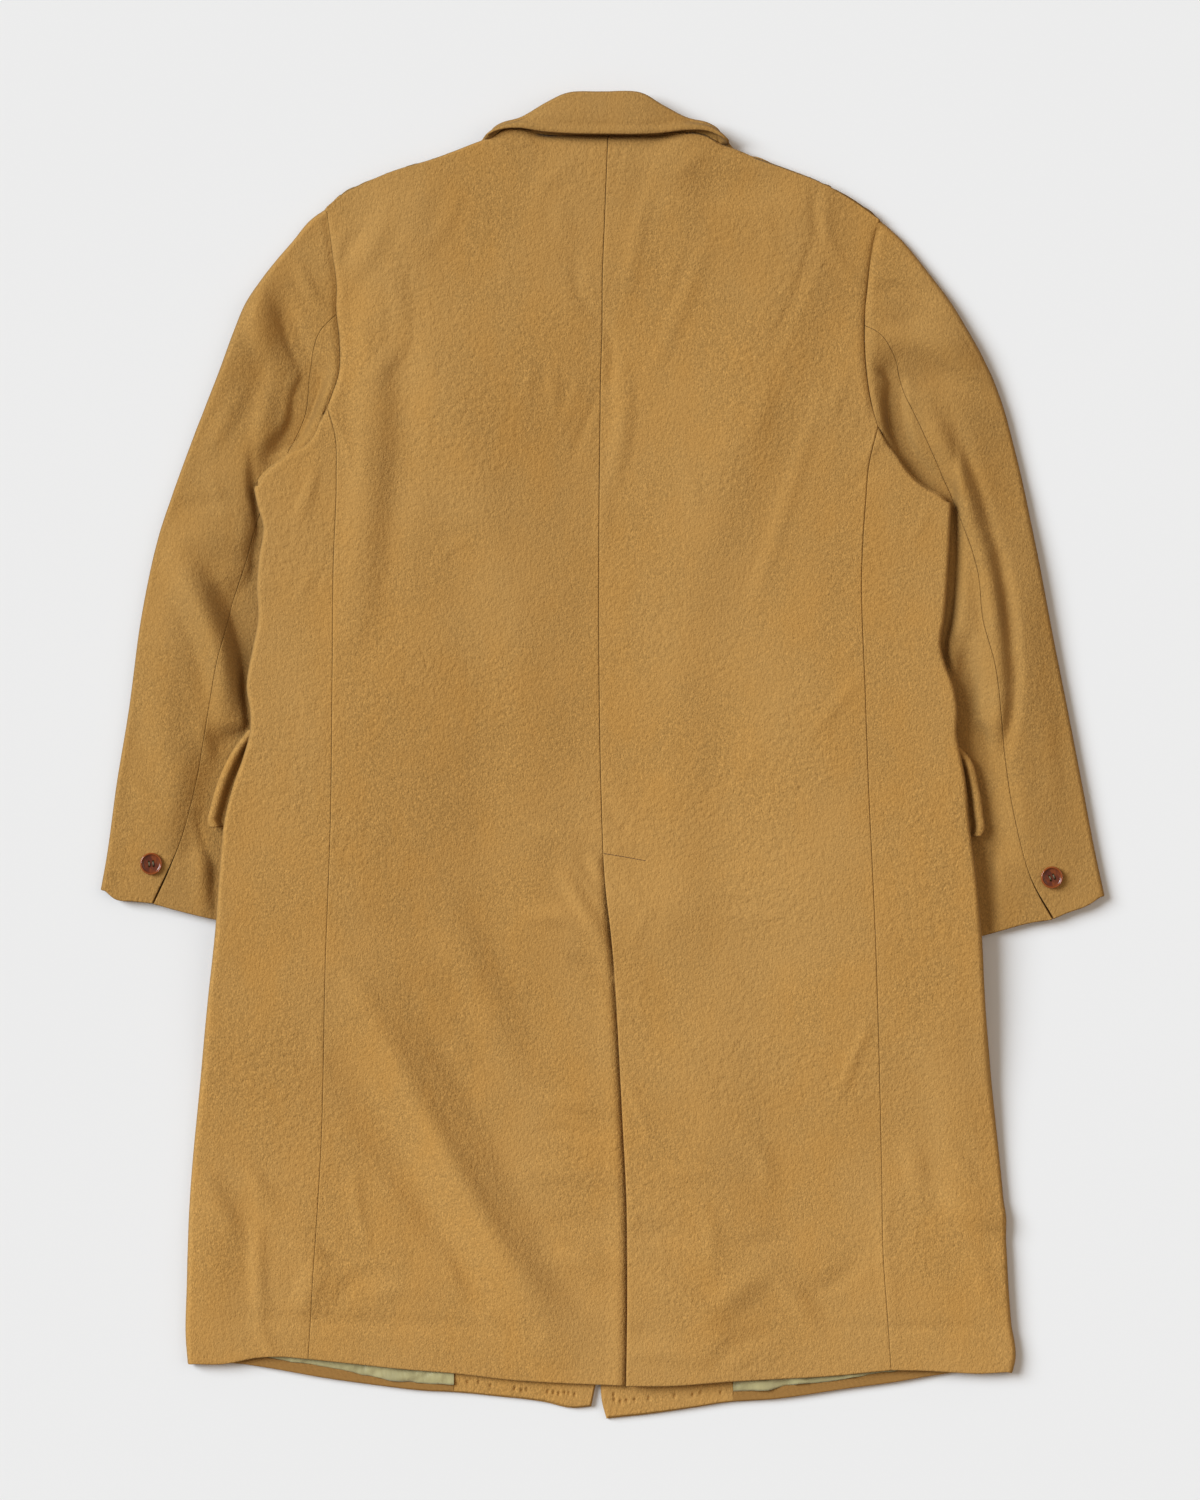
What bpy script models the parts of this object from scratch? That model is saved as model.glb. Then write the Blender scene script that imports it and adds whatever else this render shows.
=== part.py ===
"""Wool overcoat laid flat, face down, so that its back shows.

The frame: +Y runs from the hem to the collar, +Z is up and z = 0 is the surface that the coat lies on.
Tables are in millimetres and hold distances outwards from the middle for each half of the coat.
The wearer's left half is on the -X side. Every piece of cloth is an open middle surface, sampled on
rows and columns, that a Solidify modifier turns into a wall.
"""

import math

import bmesh
import bpy
import numpy as np

MM = 0.001

# Driving dimensions, in millimetres
CLOTH = 3.0
FACING_CLOTH = 1.5
LINING_CLOTH = 1.0
HALF = CLOTH / 2
SEAM_GAP = 0.3
AIR = 2.5
HEM_AIR = 4.0
LOW = HALF
HIGH = CLOTH + AIR + HALF
SLEEVE_LIFT = 10.4
LAPEL_LIFT = 4.4
FLAP_LIFT = 4.0
VENT_LIFT = 4.2
VENT_UNDERLAP = 40.0
CUFF_BUTTON = {"across": 20.0, "thick": 3.6}
FRONT_BUTTON = {"across": 28.0, "thick": 3.8}
FRONT_BUTTON_HEIGHTS = (130.0, 15.0, -100.0)
FRONT_BUTTON_INSET = 24.0
LIP = 0.8

# Grid sizes
ROWS_TO_ARMPIT = 22
ROWS_ABOVE = 8
BACK_COLUMNS = 11
SHOULDER_COLUMNS = 7
FRONT_COLUMNS = 12
STRIP_COLUMNS = 3
FOLD_STEPS = 4
SLEEVE_ROWS = 17
COLLAR_ROWS = 33
VENT_ROWS = 13
FRONT_EDGE_ROWS = 19

SIGN = {"left": -1.0, "right": 1.0}

# Outlines of the pieces, as (outwards, along), from the hem or cuff upwards and from the side inwards
SIDE_FOLD = {
    "left": [(372.6, -548), (374.4, -525), (373, -472), (370.5, -400), (361, -292), (354, -220),
             (347.4, -160), (343, -101), (338, -54), (330, -24), (321.5, 0), (316, 22), (316, 39),
             (319, 58), (314, 95), (309, 122), (310, 152), (308, 178), (304.5, 206), (309, 222), (313, 241)],
    "right": [(369, -556), (371.7, -545), (368, -508), (361, -400), (350, -292), (344, -220),
              (341, -163), (336, -110), (329, -54), (326, -20), (321, 5), (318.6, 18), (319, 40),
              (316, 60), (308, 82), (304.5, 97), (308, 124), (311, 164), (313, 203), (314, 227)],
}
SIDE_SEAM = {
    "left": [(264, -543), (260, -474), (252.6, -355), (248, -183), (243.5, -60), (242, 71),
             (241, 176), (238.5, 250), (240, 289), (246.6, 312)],
    "right": [(260, -553), (257, -509), (253, -452), (251.5, -374), (245, -153), (239.5, -34),
              (236.5, 50), (233.6, 176), (237, 229), (240, 262), (248, 294)],
}
ARMHOLE_ABOVE_SEAM = {
    "left": [(246.6, 312), (242, 325), (237, 340), (236, 373), (239, 400), (239, 424), (243, 451),
             (249, 491)],
    "right": [(248, 294), (241, 319), (238, 338), (236, 363), (236, 394), (239, 424), (244, 458),
              (250, 481)],
}
ARMHOLE_BELOW_SEAM = {
    "left": [(313, 241), (305, 253), (292, 264), (281, 272), (267.5, 278), (260, 286), (254, 298),
             (246.6, 312)],
    "right": [(314, 227), (307, 233), (293, 240), (283.5, 247), (274, 257), (265.5, 269), (257, 279),
              (248, 294)],
}
SHOULDER = {
    "left": [(249, 491), (240, 499.5), (218, 512), (191, 523.8), (150, 536.4), (130.5, 543.6), (119, 548),
             (110, 549), (102, 546.5)],
    "right": [(250, 481), (241, 488), (214, 506), (187, 519), (160, 529), (133, 539), (121, 543.5),
              (114, 545), (108, 542.5)],
}
FRONT_NECK_POINT = {
    "left": [(130.5, 543), (119, 540), (110, 533)],
    "right": [(133, 538.5), (124, 536), (116, 529)],
}
BACK_NECK = {
    "left": [(102, 546.5), (60, 549.5), (-5, 552)],
    "right": [(108, 542.5), (60, 549), (5, 552)],
}
# The middle seam and the edge of the vent, as (along, across): both halves share them
MIDDLE_SEAM = [(-90, 0.9), (-63, 0), (-40, -0.7), (303, -1.8), (340, -1.3), (388, 0), (430, 0.3), (478, 2.2),
               (525, 4), (552, 5.2)]
VENT_EDGE = [(-567, 21.6), (-490, 22.5), (-400, 21.8), (-316, 17.6), (-247, 14), (-211, 12), (-183, 10),
             (-155, 7.2), (-128, 3.9), (-90, 0.9)]
BACK_HEM = {
    "left": [(264, -543), (231, -546), (182, -550.5), (131, -554), (81, -559), (39, -561), (-21.3, -562.5)],
    "right": [(260, -553), (196, -559), (157, -561), (117, -563), (58, -567), (21.6, -567)],
}
STRIP_HEM = {
    "left": [(372.6, -548), (346, -548), (311, -542), (297, -541), (264, -543)],
    "right": [(369, -556), (340, -557), (322, -556), (293, -554), (260, -553)],
}
FRONT_HEM = {
    "left": [(372.6, -548), (331, -548), (309, -551), (251, -561), (207, -567), (164, -572), (133, -573.5),
             (96, -577), (53, -582), (27, -587.5), (9.6, -586)],
    "right": [(369, -556), (322, -556), (300, -559), (265, -565), (221, -571), (157.5, -580), (112, -583),
              (86, -587), (43, -593), (4, -597)],
}
FRONT_EDGE = {
    "left": [(9.6, -586), (7.5, -575), (4.8, -562), (4.2, -500), (3.0, -400), (1.8, -100), (1.8, 160)],
    "right": [(4, -597), (0, -582), (-1.6, -562), (-1.2, -500), (0.2, -400), (1.8, -100), (1.8, 160)],
}
ROLL_LINE = {
    "left": [(1.8, 160), (30, 270), (59, 380), (79, 460), (92, 505), (101, 530)],
    "right": [(1.8, 160), (30, 270), (60, 380), (81, 460), (96, 502), (107, 526)],
}
SLEEVE_OUTER = {
    "left": [(451, -121.5), (446, -94.5), (436, -22.5), (424, 49.5), (414, 121.5), (399, 193.5),
             (375, 265.5), (345.6, 337.5), (316, 409.5), (305, 427.5), (277, 463.5), (262, 481.5),
             (249, 491)],
    "right": [(452, -127), (445, -94.5), (431, -22.5), (417, 49.5), (402, 121.5), (388, 193.5),
              (373.5, 265.5), (351, 337.5), (331.5, 373.5), (310.5, 409.5), (297.5, 427.5),
              (269, 463.5), (250, 481)],
}
HINDARM_SEAM = {
    "left": [(403, -134), (391, -108), (380, -80), (365, -24), (355, 31), (343, 94), (334, 131), (320, 175),
             (313, 202), (297, 240), (280, 275), (267, 305), (262, 346), (253, 381), (239, 396)],
    "right": [(405, -148), (388, -117), (371, -56), (360, 18), (353, 82), (343, 120), (338, 164), (319, 221),
              (304, 256), (289, 289), (269, 334), (262, 360), (250, 378), (236.5, 386)],
}
SLEEVE_INNER = {
    "left": [(298, -157.5), (275, -80), (252, 10), (232, 90), (219, 160), (213, 215), (216, 243)],
    "right": [(297, -173), (276, -90), (252, 10), (232, 90), (219, 160), (213, 205), (216, 235)],
}
CUFF_OUTER = {
    "left": [(451, -121.5), (441, -129), (420, -132), (403, -134)],
    "right": [(452, -127), (441, -134), (417, -143), (405, -148)],
}
CUFF_INNER = {
    "left": [(403, -134), (378, -141), (347, -148.5), (298, -157.5)],
    "right": [(405, -148), (386, -151), (341, -163), (297, -173)],
}
SLEEVE_HEAD_OUTER = {
    "left": [(249, 491), (243, 451), (239, 424), (239, 396)],
    "right": [(250, 481), (244, 458), (239, 424), (236.5, 386)],
}
SLEEVE_HEAD_INNER = {
    "left": [(239, 396), (236, 373), (237, 340), (242, 325), (249, 306), (247, 284), (234, 262),
             (216, 243)],
    "right": [(236.5, 386), (236, 363), (238, 338), (241, 319), (249, 294), (247, 272), (234, 252),
              (216, 235)],
}
FLAP_OUTER = {
    "left": [(351, -65), (354, -59), (352, -49.5), (342.5, -18.5), (331, 4.5), (317, 22.5)],
    "right": [(340, -73), (343, -68), (342, -53), (338, -28), (331, -4.5), (319, 9)],
}
FLAP_INNER_X = 216.0
HEM_BAND_TOP = {
    "left": [(330, -536), (292, -543), (265, -548), (224, -555), (195, -562), (164, -565), (134, -566)],
    "right": [(330, -545), (300, -550), (241, -557), (200, -564), (165, -567), (150, -571), (119, -572)],
}
FACING_SIDE = {"left": 133.0, "right": 118.0}
LINING_TOP = -500.0

# The lapel: how far it reaches from the roll line, at each share of its length
LAPEL = {"share": (0.0, 0.2, 0.45, 0.7, 0.9, 1.0), "reach": (6.0, 34.0, 58.0, 72.0, 80.0, 78.0)}
LAPEL_TOP_SHARE = 0.72
LAPEL_TIP = {"from_share": 0.6, "drop": 26.0}
HEM_LAYER_INSET = 1.2

# Where the coat's body rises over what lies under it: how far inwards it starts, the width of its slope,
# and the heights along the coat that it fades at, with the lengths of those fades
SLEEVE_RISE = {"start": 28.0, "slope": 90.0, "top": 400.0, "top_fade": 75.0, "foot": -300.0, "foot_fade": 95.0}
FLAP_RISE = {"start": 110.0, "slope": 70.0, "top": 130.0, "top_fade": 70.0, "foot": -180.0, "foot_fade": 75.0}
LAPEL_RISE = {"slope": 62.0, "foot": -225.0, "foot_fade": 90.0}
LAPEL_RISE_WIDTH = {"along": (-260, -150, 60, 180, 330, 420), "half_width": (40, 55, 60, 80, 130, 172)}
VENT_RISE = {"top": -90.0, "top_fade": 55.0, "reach": 110.0, "slope": 80.0}

# Largest soft folds of the back: where the crest starts, bends and ends, its height and half width
BACK_FOLDS = {
    "columns": ("x0", "y0", "x1", "y1", "x2", "y2", "height", "half_width"),
    "rows": [
        (-196, -250, -120, -392, -34, -512, 7.0, 44),
        (-130, -120, -100, -230, -70, -300, 3.5, 40),
        (-222, 400, -226, 270, -212, 120, 4.0, 36),
        (150, 500, 105, 400, 80, 300, 3.0, 36),
        (175, 350, 150, 240, 140, 160, 3.0, 36),
        (300, -250, 322, -330, 330, -420, 4.0, 34),
        (-320, -330, -330, -400, -330, -470, 4.0, 34),
        (110, -400, 150, -450, 190, -470, 3.0, 40),
    ],
}
SLEEVE_FOLDS = {
    "columns": ("x0", "y0", "x1", "y1", "x2", "y2", "height", "half_width"),
    "rows": [
        (-296, 440, -318, 380, -352, 300, 4.0, 34),
        (-372, 210, -388, 120, -396, 20, 3.5, 36),
        (292, 420, 318, 370, 340, 300, 4.0, 34),
        (378, 220, 380, 120, 386, 10, 3.5, 34),
    ],
}

# Sections of the collar, from the middle of the back round to the front: the neck seam, the fold at the
# top of the stand and the free edge of the fall, each as (outwards, along, height)
COLLAR_SECTIONS = {
    "columns": ("seam", "fold", "fall"),
    "left": [
        ((3, 552.6, 11.4), (3, 596.0, 13.5), (3, 557.5, 20.0)),
        ((30, 551.4, 11.4), (29, 595.3, 13.5), (28, 558.0, 20.0)),
        ((52, 550.4, 11.4), (49, 586.5, 13.5), (52, 559.0, 19.5)),
        ((72, 549.3, 11.4), (71, 573.6, 13.5), (74, 562.0, 19.0)),
        ((88, 546.4, 11.4), (89, 568.3, 13.5), (91, 560.5, 18.0)),
        ((95.0, 544.7, 11.0), (96.5, 561.8, 12.0), (104, 555.0, 16.5)),
        ((97.5, 544.5, 9.0), (95.0, 548.5, 7.0), (108, 552.5, 7.0)),
        ((100.5, 534.0, 6.6), (94.0, 533.5, 4.2), (119, 542.5, 2.6)),
        ((98.5, 521.0, 6.0), (92.0, 520.0, 4.0), (134, 523.0, 1.9)),
        ((93.0, 500.0, 6.0), (87.0, 499.0, 4.0), (140, 492.0, 1.9)),
        ((83.5, 464.0, 6.0), (77.5, 463.5, 4.0), (134, 456.0, 1.9)),
    ],
    "right": [
        ((3, 552.6, 11.4), (3, 596.0, 13.5), (3, 557.5, 20.0)),
        ((30, 551.4, 11.4), (33, 595.5, 13.5), (30, 557.5, 20.0)),
        ((54, 550.0, 11.4), (54, 584.0, 13.5), (54, 559.0, 19.5)),
        ((75, 548.2, 11.4), (75, 573.0, 13.5), (77, 562.0, 19.0)),
        ((92, 543.8, 11.4), (94, 568.4, 13.5), (96, 559.5, 18.5)),
        ((101.0, 541.2, 11.0), (103.5, 560.5, 12.0), (112, 551.5, 16.5)),
        ((104.0, 541.5, 9.0), (101.5, 545.5, 7.0), (115, 548.5, 7.0)),
        ((106.5, 530.5, 6.6), (100.0, 530.0, 4.2), (125, 538.5, 2.6)),
        ((103.5, 518.0, 6.0), (97.0, 517.0, 4.0), (138, 519.0, 1.9)),
        ((95.8, 498.0, 6.0), (89.8, 497.0, 4.0), (142, 490.0, 1.9)),
        ((85.5, 464.0, 6.0), (79.5, 463.5, 4.0), (136, 455.0, 1.9)),
    ],
}
COLLAR_STEPS = {"stand": 3, "fold": 4, "fall": 3}
COLLAR_FOLD_RADIUS = 2.2


def smooth_step(value):
    """0 below 0, 1 above 1, with a cosine's rise between."""
    return 0.5 - 0.5 * np.cos(np.pi * np.clip(value, 0.0, 1.0))


def sample(points, shares):
    """Points at these shares of the length of a smooth curve through the given ones."""
    knots = np.array(points, float)
    steps = np.linalg.norm(np.diff(knots, axis=0), axis=1)
    at = np.concatenate([[0.0], np.cumsum(steps)])
    slopes = np.gradient(knots, at, axis=0)
    wanted = np.clip(np.asarray(shares, float), 0.0, 1.0) * at[-1]
    cell = np.clip(np.searchsorted(at, wanted, side="right") - 1, 0, len(steps) - 1)
    width = steps[cell][:, None]
    t = ((wanted - at[cell]) / steps[cell])[:, None]
    start, stop = knots[cell], knots[cell + 1]
    return (
        (2 * t**3 - 3 * t**2 + 1) * start
        + (t**3 - 2 * t**2 + t) * width * slopes[cell]
        + (3 * t**2 - 2 * t**3) * stop
        + (t**3 - t**2) * width * slopes[cell + 1]
    )


def along(points, count):
    return sample(points, np.linspace(0.0, 1.0, count))


def half(table, side):
    """This side's row of a table, turned into signed points."""
    return [(SIGN[side] * out, up) for out, up in table[side]]


def shifted(line, distance, towards):
    """A plan line moved sideways by a distance, to the side that the vector towards points to."""
    tangent = np.gradient(line, axis=0)
    tangent /= np.linalg.norm(tangent, axis=1)[:, None]
    normal = np.stack([tangent[:, 1], -tangent[:, 0]], axis=1)
    normal[normal @ np.array(towards, float) < 0] *= -1
    return line + normal * np.reshape(distance, (-1, 1)), normal


def mitred(normal, seam_direction):
    """The way that a rounded edge turns at its end, so that it stays on the seam that it meets."""
    direction = np.array(seam_direction, float)
    return direction / (normal @ direction)


def armhole_end(side):
    """The direction in which the armhole's seam reaches the shoulder's tip."""
    before, tip = np.array(half(ARMHOLE_ABOVE_SEAM, side)[-2:], float)
    return (tip - before) / np.linalg.norm(tip - before)


def patch(outer, inner, bottom, top):
    """Rows from the outer line to the inner one, which start as the bottom line and end as the top one."""
    up = np.linspace(0.0, 1.0, len(outer))[:, None, None]
    over = np.linspace(0.0, 1.0, len(bottom))[None, :, None]
    corners = (
        (1 - up) * ((1 - over) * bottom[0] + over * bottom[-1])
        + up * ((1 - over) * top[0] + over * top[-1])
    )
    between_rows = (1 - up) * bottom[None] + up * top[None]
    between_lines = (1 - over) * outer[:, None] + over * inner[:, None]
    return between_rows + between_lines - corners


def raised(plan, height):
    """Plan points with their heights from a function of x and y."""
    return np.concatenate([plan, height(plan[..., 0], plan[..., 1])[..., None]], axis=-1)


def crest(table, x, y):
    """Height of the soft folds: each is a ridge along a bent line, which fades at its ends."""
    total = np.zeros_like(x)
    for row in table["rows"]:
        fold = dict(zip(table["columns"], row))
        knots = [(fold[f"x{k}"], fold[f"y{k}"]) for k in range(3)]
        line = along(knots, 13)
        away = np.stack([x[..., None] - line[:, 0], y[..., None] - line[:, 1]])
        distance = np.sqrt((away**2).sum(axis=0))
        nearest = distance.argmin(axis=-1) / (len(line) - 1)
        ends = np.sin(np.pi * np.clip(0.12 + 0.76 * nearest, 0, 1))
        total = total + fold["height"] * ends * smooth_step(1 - distance.min(axis=-1) / fold["half_width"])
    return total


def between_heights(y, rise):
    """1 between the foot and the top of a rise, and 0 outside them."""
    over_foot = smooth_step((y - rise["foot"]) / rise["foot_fade"])
    return over_foot * smooth_step((rise["top"] - y) / rise["top_fade"])


def sleeve_zone(x, y):
    """1 where the coat's body lies on a sleeve, 0 where it lies on the floor."""
    inner = {side: np.array(SLEEVE_INNER[side])[::-1] for side in SIGN}
    edge = np.where(
        x < 0,
        np.interp(-y, -inner["left"][:, 1], inner["left"][:, 0]),
        np.interp(-y, -inner["right"][:, 1], inner["right"][:, 0]),
    )
    rise = SLEEVE_RISE
    sideways = smooth_step((np.abs(x) - edge + rise["start"] + rise["slope"]) / rise["slope"])
    return sideways * between_heights(y, rise)


def lapel_zone(x, y):
    """1 over the collar, the lapels and the front buttons, which lie under the fronts."""
    rise = LAPEL_RISE
    half_width = np.interp(y, LAPEL_RISE_WIDTH["along"], LAPEL_RISE_WIDTH["half_width"])
    across = smooth_step((half_width + rise["slope"] - np.abs(x)) / rise["slope"])
    return across * smooth_step((y - rise["foot"]) / rise["foot_fade"])


def flap_zone(x, y):
    """1 over the pocket flaps, which lie between the fronts and the sleeves."""
    across = smooth_step((np.abs(x) - FLAP_RISE["start"]) / FLAP_RISE["slope"])
    return across * between_heights(y, FLAP_RISE)


def under_flap(x, y):
    return SLEEVE_LIFT * sleeve_zone(x, y) + LAPEL_LIFT * lapel_zone(x, y)


def front_height(x, y):
    """Middle of the fronts' lower wall."""
    return LOW + under_flap(x, y) + FLAP_LIFT * flap_zone(x, y)


def air(y):
    return AIR + (HEM_AIR - AIR) * smooth_step((-400.0 - y) / 70.0)


def back_height(x, y):
    """Middle of the upper wall: the back panels and the fronts' side strips."""
    return front_height(x, y) + CLOTH + air(y) + crest(BACK_FOLDS, x, y)


def vent_x(y):
    rows = np.array(VENT_EDGE)
    return np.interp(y, rows[:, 0], rows[:, 1])


def right_back_height(x, y):
    """The right back panel lies over the vent's underlap."""
    reach = vent_x(y) + VENT_UNDERLAP + VENT_RISE["reach"]
    below_top = smooth_step((VENT_RISE["top"] - y) / VENT_RISE["top_fade"])
    return back_height(x, y) + VENT_LIFT * below_top * smooth_step((reach - x) / VENT_RISE["slope"])


def sleeve_upper_height(x, y):
    return HIGH + crest(SLEEVE_FOLDS, x, y)


def sleeve_lower_height(x, y):
    return np.full_like(x, LOW)


def rounded_edge(line, normal, high, low, steps=FOLD_STEPS):
    """Rows of points round a half circle from the higher wall to the lower one."""
    angles = np.radians(np.linspace(90, -90, steps + 1))
    radius = (high - low)[:, None] / 2
    middle = (high + low)[:, None] / 2
    plan = line[:, None] + normal[:, None] * (radius * np.cos(angles))[..., None]
    return np.concatenate([plan, (middle + radius * np.sin(angles))[..., None]], axis=-1)


def shoulder_edge(line, normal, wall, other_wall):
    """Rows of points round a quarter circle, and down a short upright lip, to half way between two walls."""
    reach = np.abs(wall - other_wall) / 2
    turn = np.sign(other_wall - wall)
    drop = reach - LIP - SEAM_GAP / 2
    angles = np.radians(np.linspace(0, 90, FOLD_STEPS // 2 + 1))
    out = np.concatenate([reach[:, None] * np.sin(angles), reach[:, None]], axis=1)
    down = np.concatenate([drop[:, None] * (1 - np.cos(angles)), (drop + LIP)[:, None]], axis=1)
    plan = line[:, None] + normal[:, None] * out[..., None]
    return np.concatenate([plan, (wall[:, None] + turn[:, None] * down)[..., None]], axis=-1)


def material(name, colour, roughness):
    made = bpy.data.materials.new(name)
    made.use_nodes = True
    shader = made.node_tree.nodes["Principled BSDF"]
    shader.inputs["Base Color"].default_value = (*colour, 1.0)
    shader.inputs["Roughness"].default_value = roughness
    shader.inputs["Metallic"].default_value = 0.0
    made.diffuse_color = (*colour, 1.0)
    return made


def cloth_piece(name, grids, finish, thickness=CLOTH):
    """One wall from grids of points that share their border points."""
    mesh = bmesh.new()
    for grid in grids:
        points = [[mesh.verts.new(point * MM) for point in row] for row in np.asarray(grid, float)]
        for lower, upper in zip(points, points[1:]):
            for a, b, c, d in zip(lower, lower[1:], upper[1:], upper):
                mesh.faces.new((a, b, c, d))
    bmesh.ops.remove_doubles(mesh, verts=mesh.verts, dist=0.02 * MM)
    bmesh.ops.dissolve_degenerate(mesh, dist=0.01 * MM, edges=mesh.edges)
    bmesh.ops.recalc_face_normals(mesh, faces=mesh.faces)
    data = bpy.data.meshes.new(name)
    mesh.to_mesh(data)
    mesh.free()
    data.shade_smooth()
    piece = bpy.data.objects.new(name, data)
    piece.data.materials.append(finish)
    wall = piece.modifiers.new("wall", "SOLIDIFY")
    wall.thickness = thickness * MM
    wall.offset = 0.0
    coat.objects.link(piece)
    return piece


def row_shares():
    """Shares of the length at each row: those up to the armpit, and those above it."""
    return np.linspace(0.0, 1.0, ROWS_TO_ARMPIT + 1), np.linspace(0.0, 1.0, ROWS_ABOVE + 1)[1:]


def side_seam(side):
    return sample(half(SIDE_SEAM, side), row_shares()[0])


def shoulder_line(shoulder, side):
    """Where the shoulder's rounded edge starts, and the way that it turns."""
    inset = (HIGH - LOW) / 2 + HALF
    line, normal = shifted(shoulder, -inset, (0, 1))
    normal[0] = mitred(normal[0], armhole_end(side))
    line[0] = shoulder[0] - inset * normal[0] - (SIGN[side] * SEAM_GAP / 2, 0)
    return line, normal


def back_panel(side, finish):
    sign = SIGN[side]
    height = right_back_height if side == "right" else back_height
    _, above = row_shares()
    seam, _ = shifted(side_seam(side), SEAM_GAP / 2, (-sign, 0))
    armhole, _ = shifted(sample(half(ARMHOLE_ABOVE_SEAM, side), above), SEAM_GAP / 2, (-sign, 0))
    outer = np.concatenate([seam, armhole])
    vent = sample([(x, y) for y, x in VENT_EDGE], np.linspace(0.0, 1.0, VENT_ROWS + 1))
    middle = sample([(x, y) for y, x in MIDDLE_SEAM], np.linspace(0.0, 1.0, len(outer) - VENT_ROWS)[1:])
    inner, _ = shifted(np.concatenate([vent, middle]), SEAM_GAP / 2, (sign, 0))

    shoulder = sample(half(SHOULDER, side), np.linspace(0.0, 1.0, SHOULDER_COLUMNS + 1))
    neck = sample(half(BACK_NECK, side), np.linspace(0.0, 1.0, BACK_COLUMNS - SHOULDER_COLUMNS + 1))
    line, normal = shoulder_line(shoulder, side)
    top = np.concatenate([line, neck[1:]])
    outer[-1], inner[-1] = top[0], top[-1]
    bottom = along(half(BACK_HEM, side), BACK_COLUMNS + 1)
    bottom[0], bottom[-1] = outer[0], inner[0]
    plan = patch(outer, inner, bottom, top)
    high = height(line[:, 0], line[:, 1])
    low = front_height(line[:, 0], line[:, 1])
    grids = [raised(plan, height), shoulder_edge(line, normal, high, low)]
    if side == "left":
        rows = plan[: VENT_ROWS - 1, -1]
        underlap = np.stack([rows + (share * VENT_UNDERLAP, 0) for share in (0.0, 0.5, 1.0)], axis=1)
        grids.append(raised(underlap, height))
    return cloth_piece(f"back_{side}", grids, finish)


def front_panel(side, finish):
    """The front, round the side fold to the side seam on the coat's back."""
    sign = SIGN[side]
    below, above = row_shares()
    edge = sample(half(SIDE_FOLD, side), below)
    high = back_height(edge[:, 0], edge[:, 1])
    low = front_height(edge[:, 0], edge[:, 1])
    line, normal = shifted(edge, -((high - low) / 2 + HALF), (sign, 0))
    high = back_height(line[:, 0], line[:, 1])
    low = front_height(line[:, 0], line[:, 1])
    side_fold = rounded_edge(line, normal, high, low)

    seam, _ = shifted(side_seam(side), SEAM_GAP / 2, (sign, 0))
    strip_hem = along(half(STRIP_HEM, side), STRIP_COLUMNS + 1)
    strip_top = along(half(ARMHOLE_BELOW_SEAM, side), STRIP_COLUMNS + 1)
    strip_hem[0], strip_hem[-1] = line[0], seam[0]
    strip_top[0], strip_top[-1] = line[-1], seam[-1]
    strip = patch(line, seam, strip_hem, strip_top)

    armhole = half(ARMHOLE_BELOW_SEAM, side) + half(ARMHOLE_ABOVE_SEAM, side)[1:]
    armhole, _ = shifted(sample(armhole, above), SEAM_GAP / 2, (-sign, 0))
    outer = np.concatenate([line, armhole])
    straight = along(half(FRONT_EDGE, side), FRONT_EDGE_ROWS)
    roll = along(half(ROLL_LINE, side), len(outer) - FRONT_EDGE_ROWS + 1)
    roll, _ = shifted(roll, LAPEL_LIFT / 2 + HALF + LIP + SEAM_GAP, (sign, 0))
    inner = np.concatenate([straight[:-1], roll])
    front_shoulder = half(SHOULDER, side)[:5] + half(FRONT_NECK_POINT, side)
    shoulder = along(front_shoulder, FRONT_COLUMNS + 1)
    top, normal = shoulder_line(shoulder, side)
    inner[-1] = top[-1]
    outer[-1] = top[0]
    bottom = along(half(FRONT_HEM, side), FRONT_COLUMNS + 1)
    bottom[0], bottom[-1] = outer[0], inner[0]
    under = patch(outer, inner, bottom, top)
    high = back_height(top[:, 0], top[:, 1])
    low = front_height(top[:, 0], top[:, 1])
    under_shoulder = shoulder_edge(top, normal, low, high)
    grids = [raised(strip, back_height), side_fold, raised(under, front_height), under_shoulder]
    return cloth_piece(f"front_{side}", grids, finish)


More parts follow.
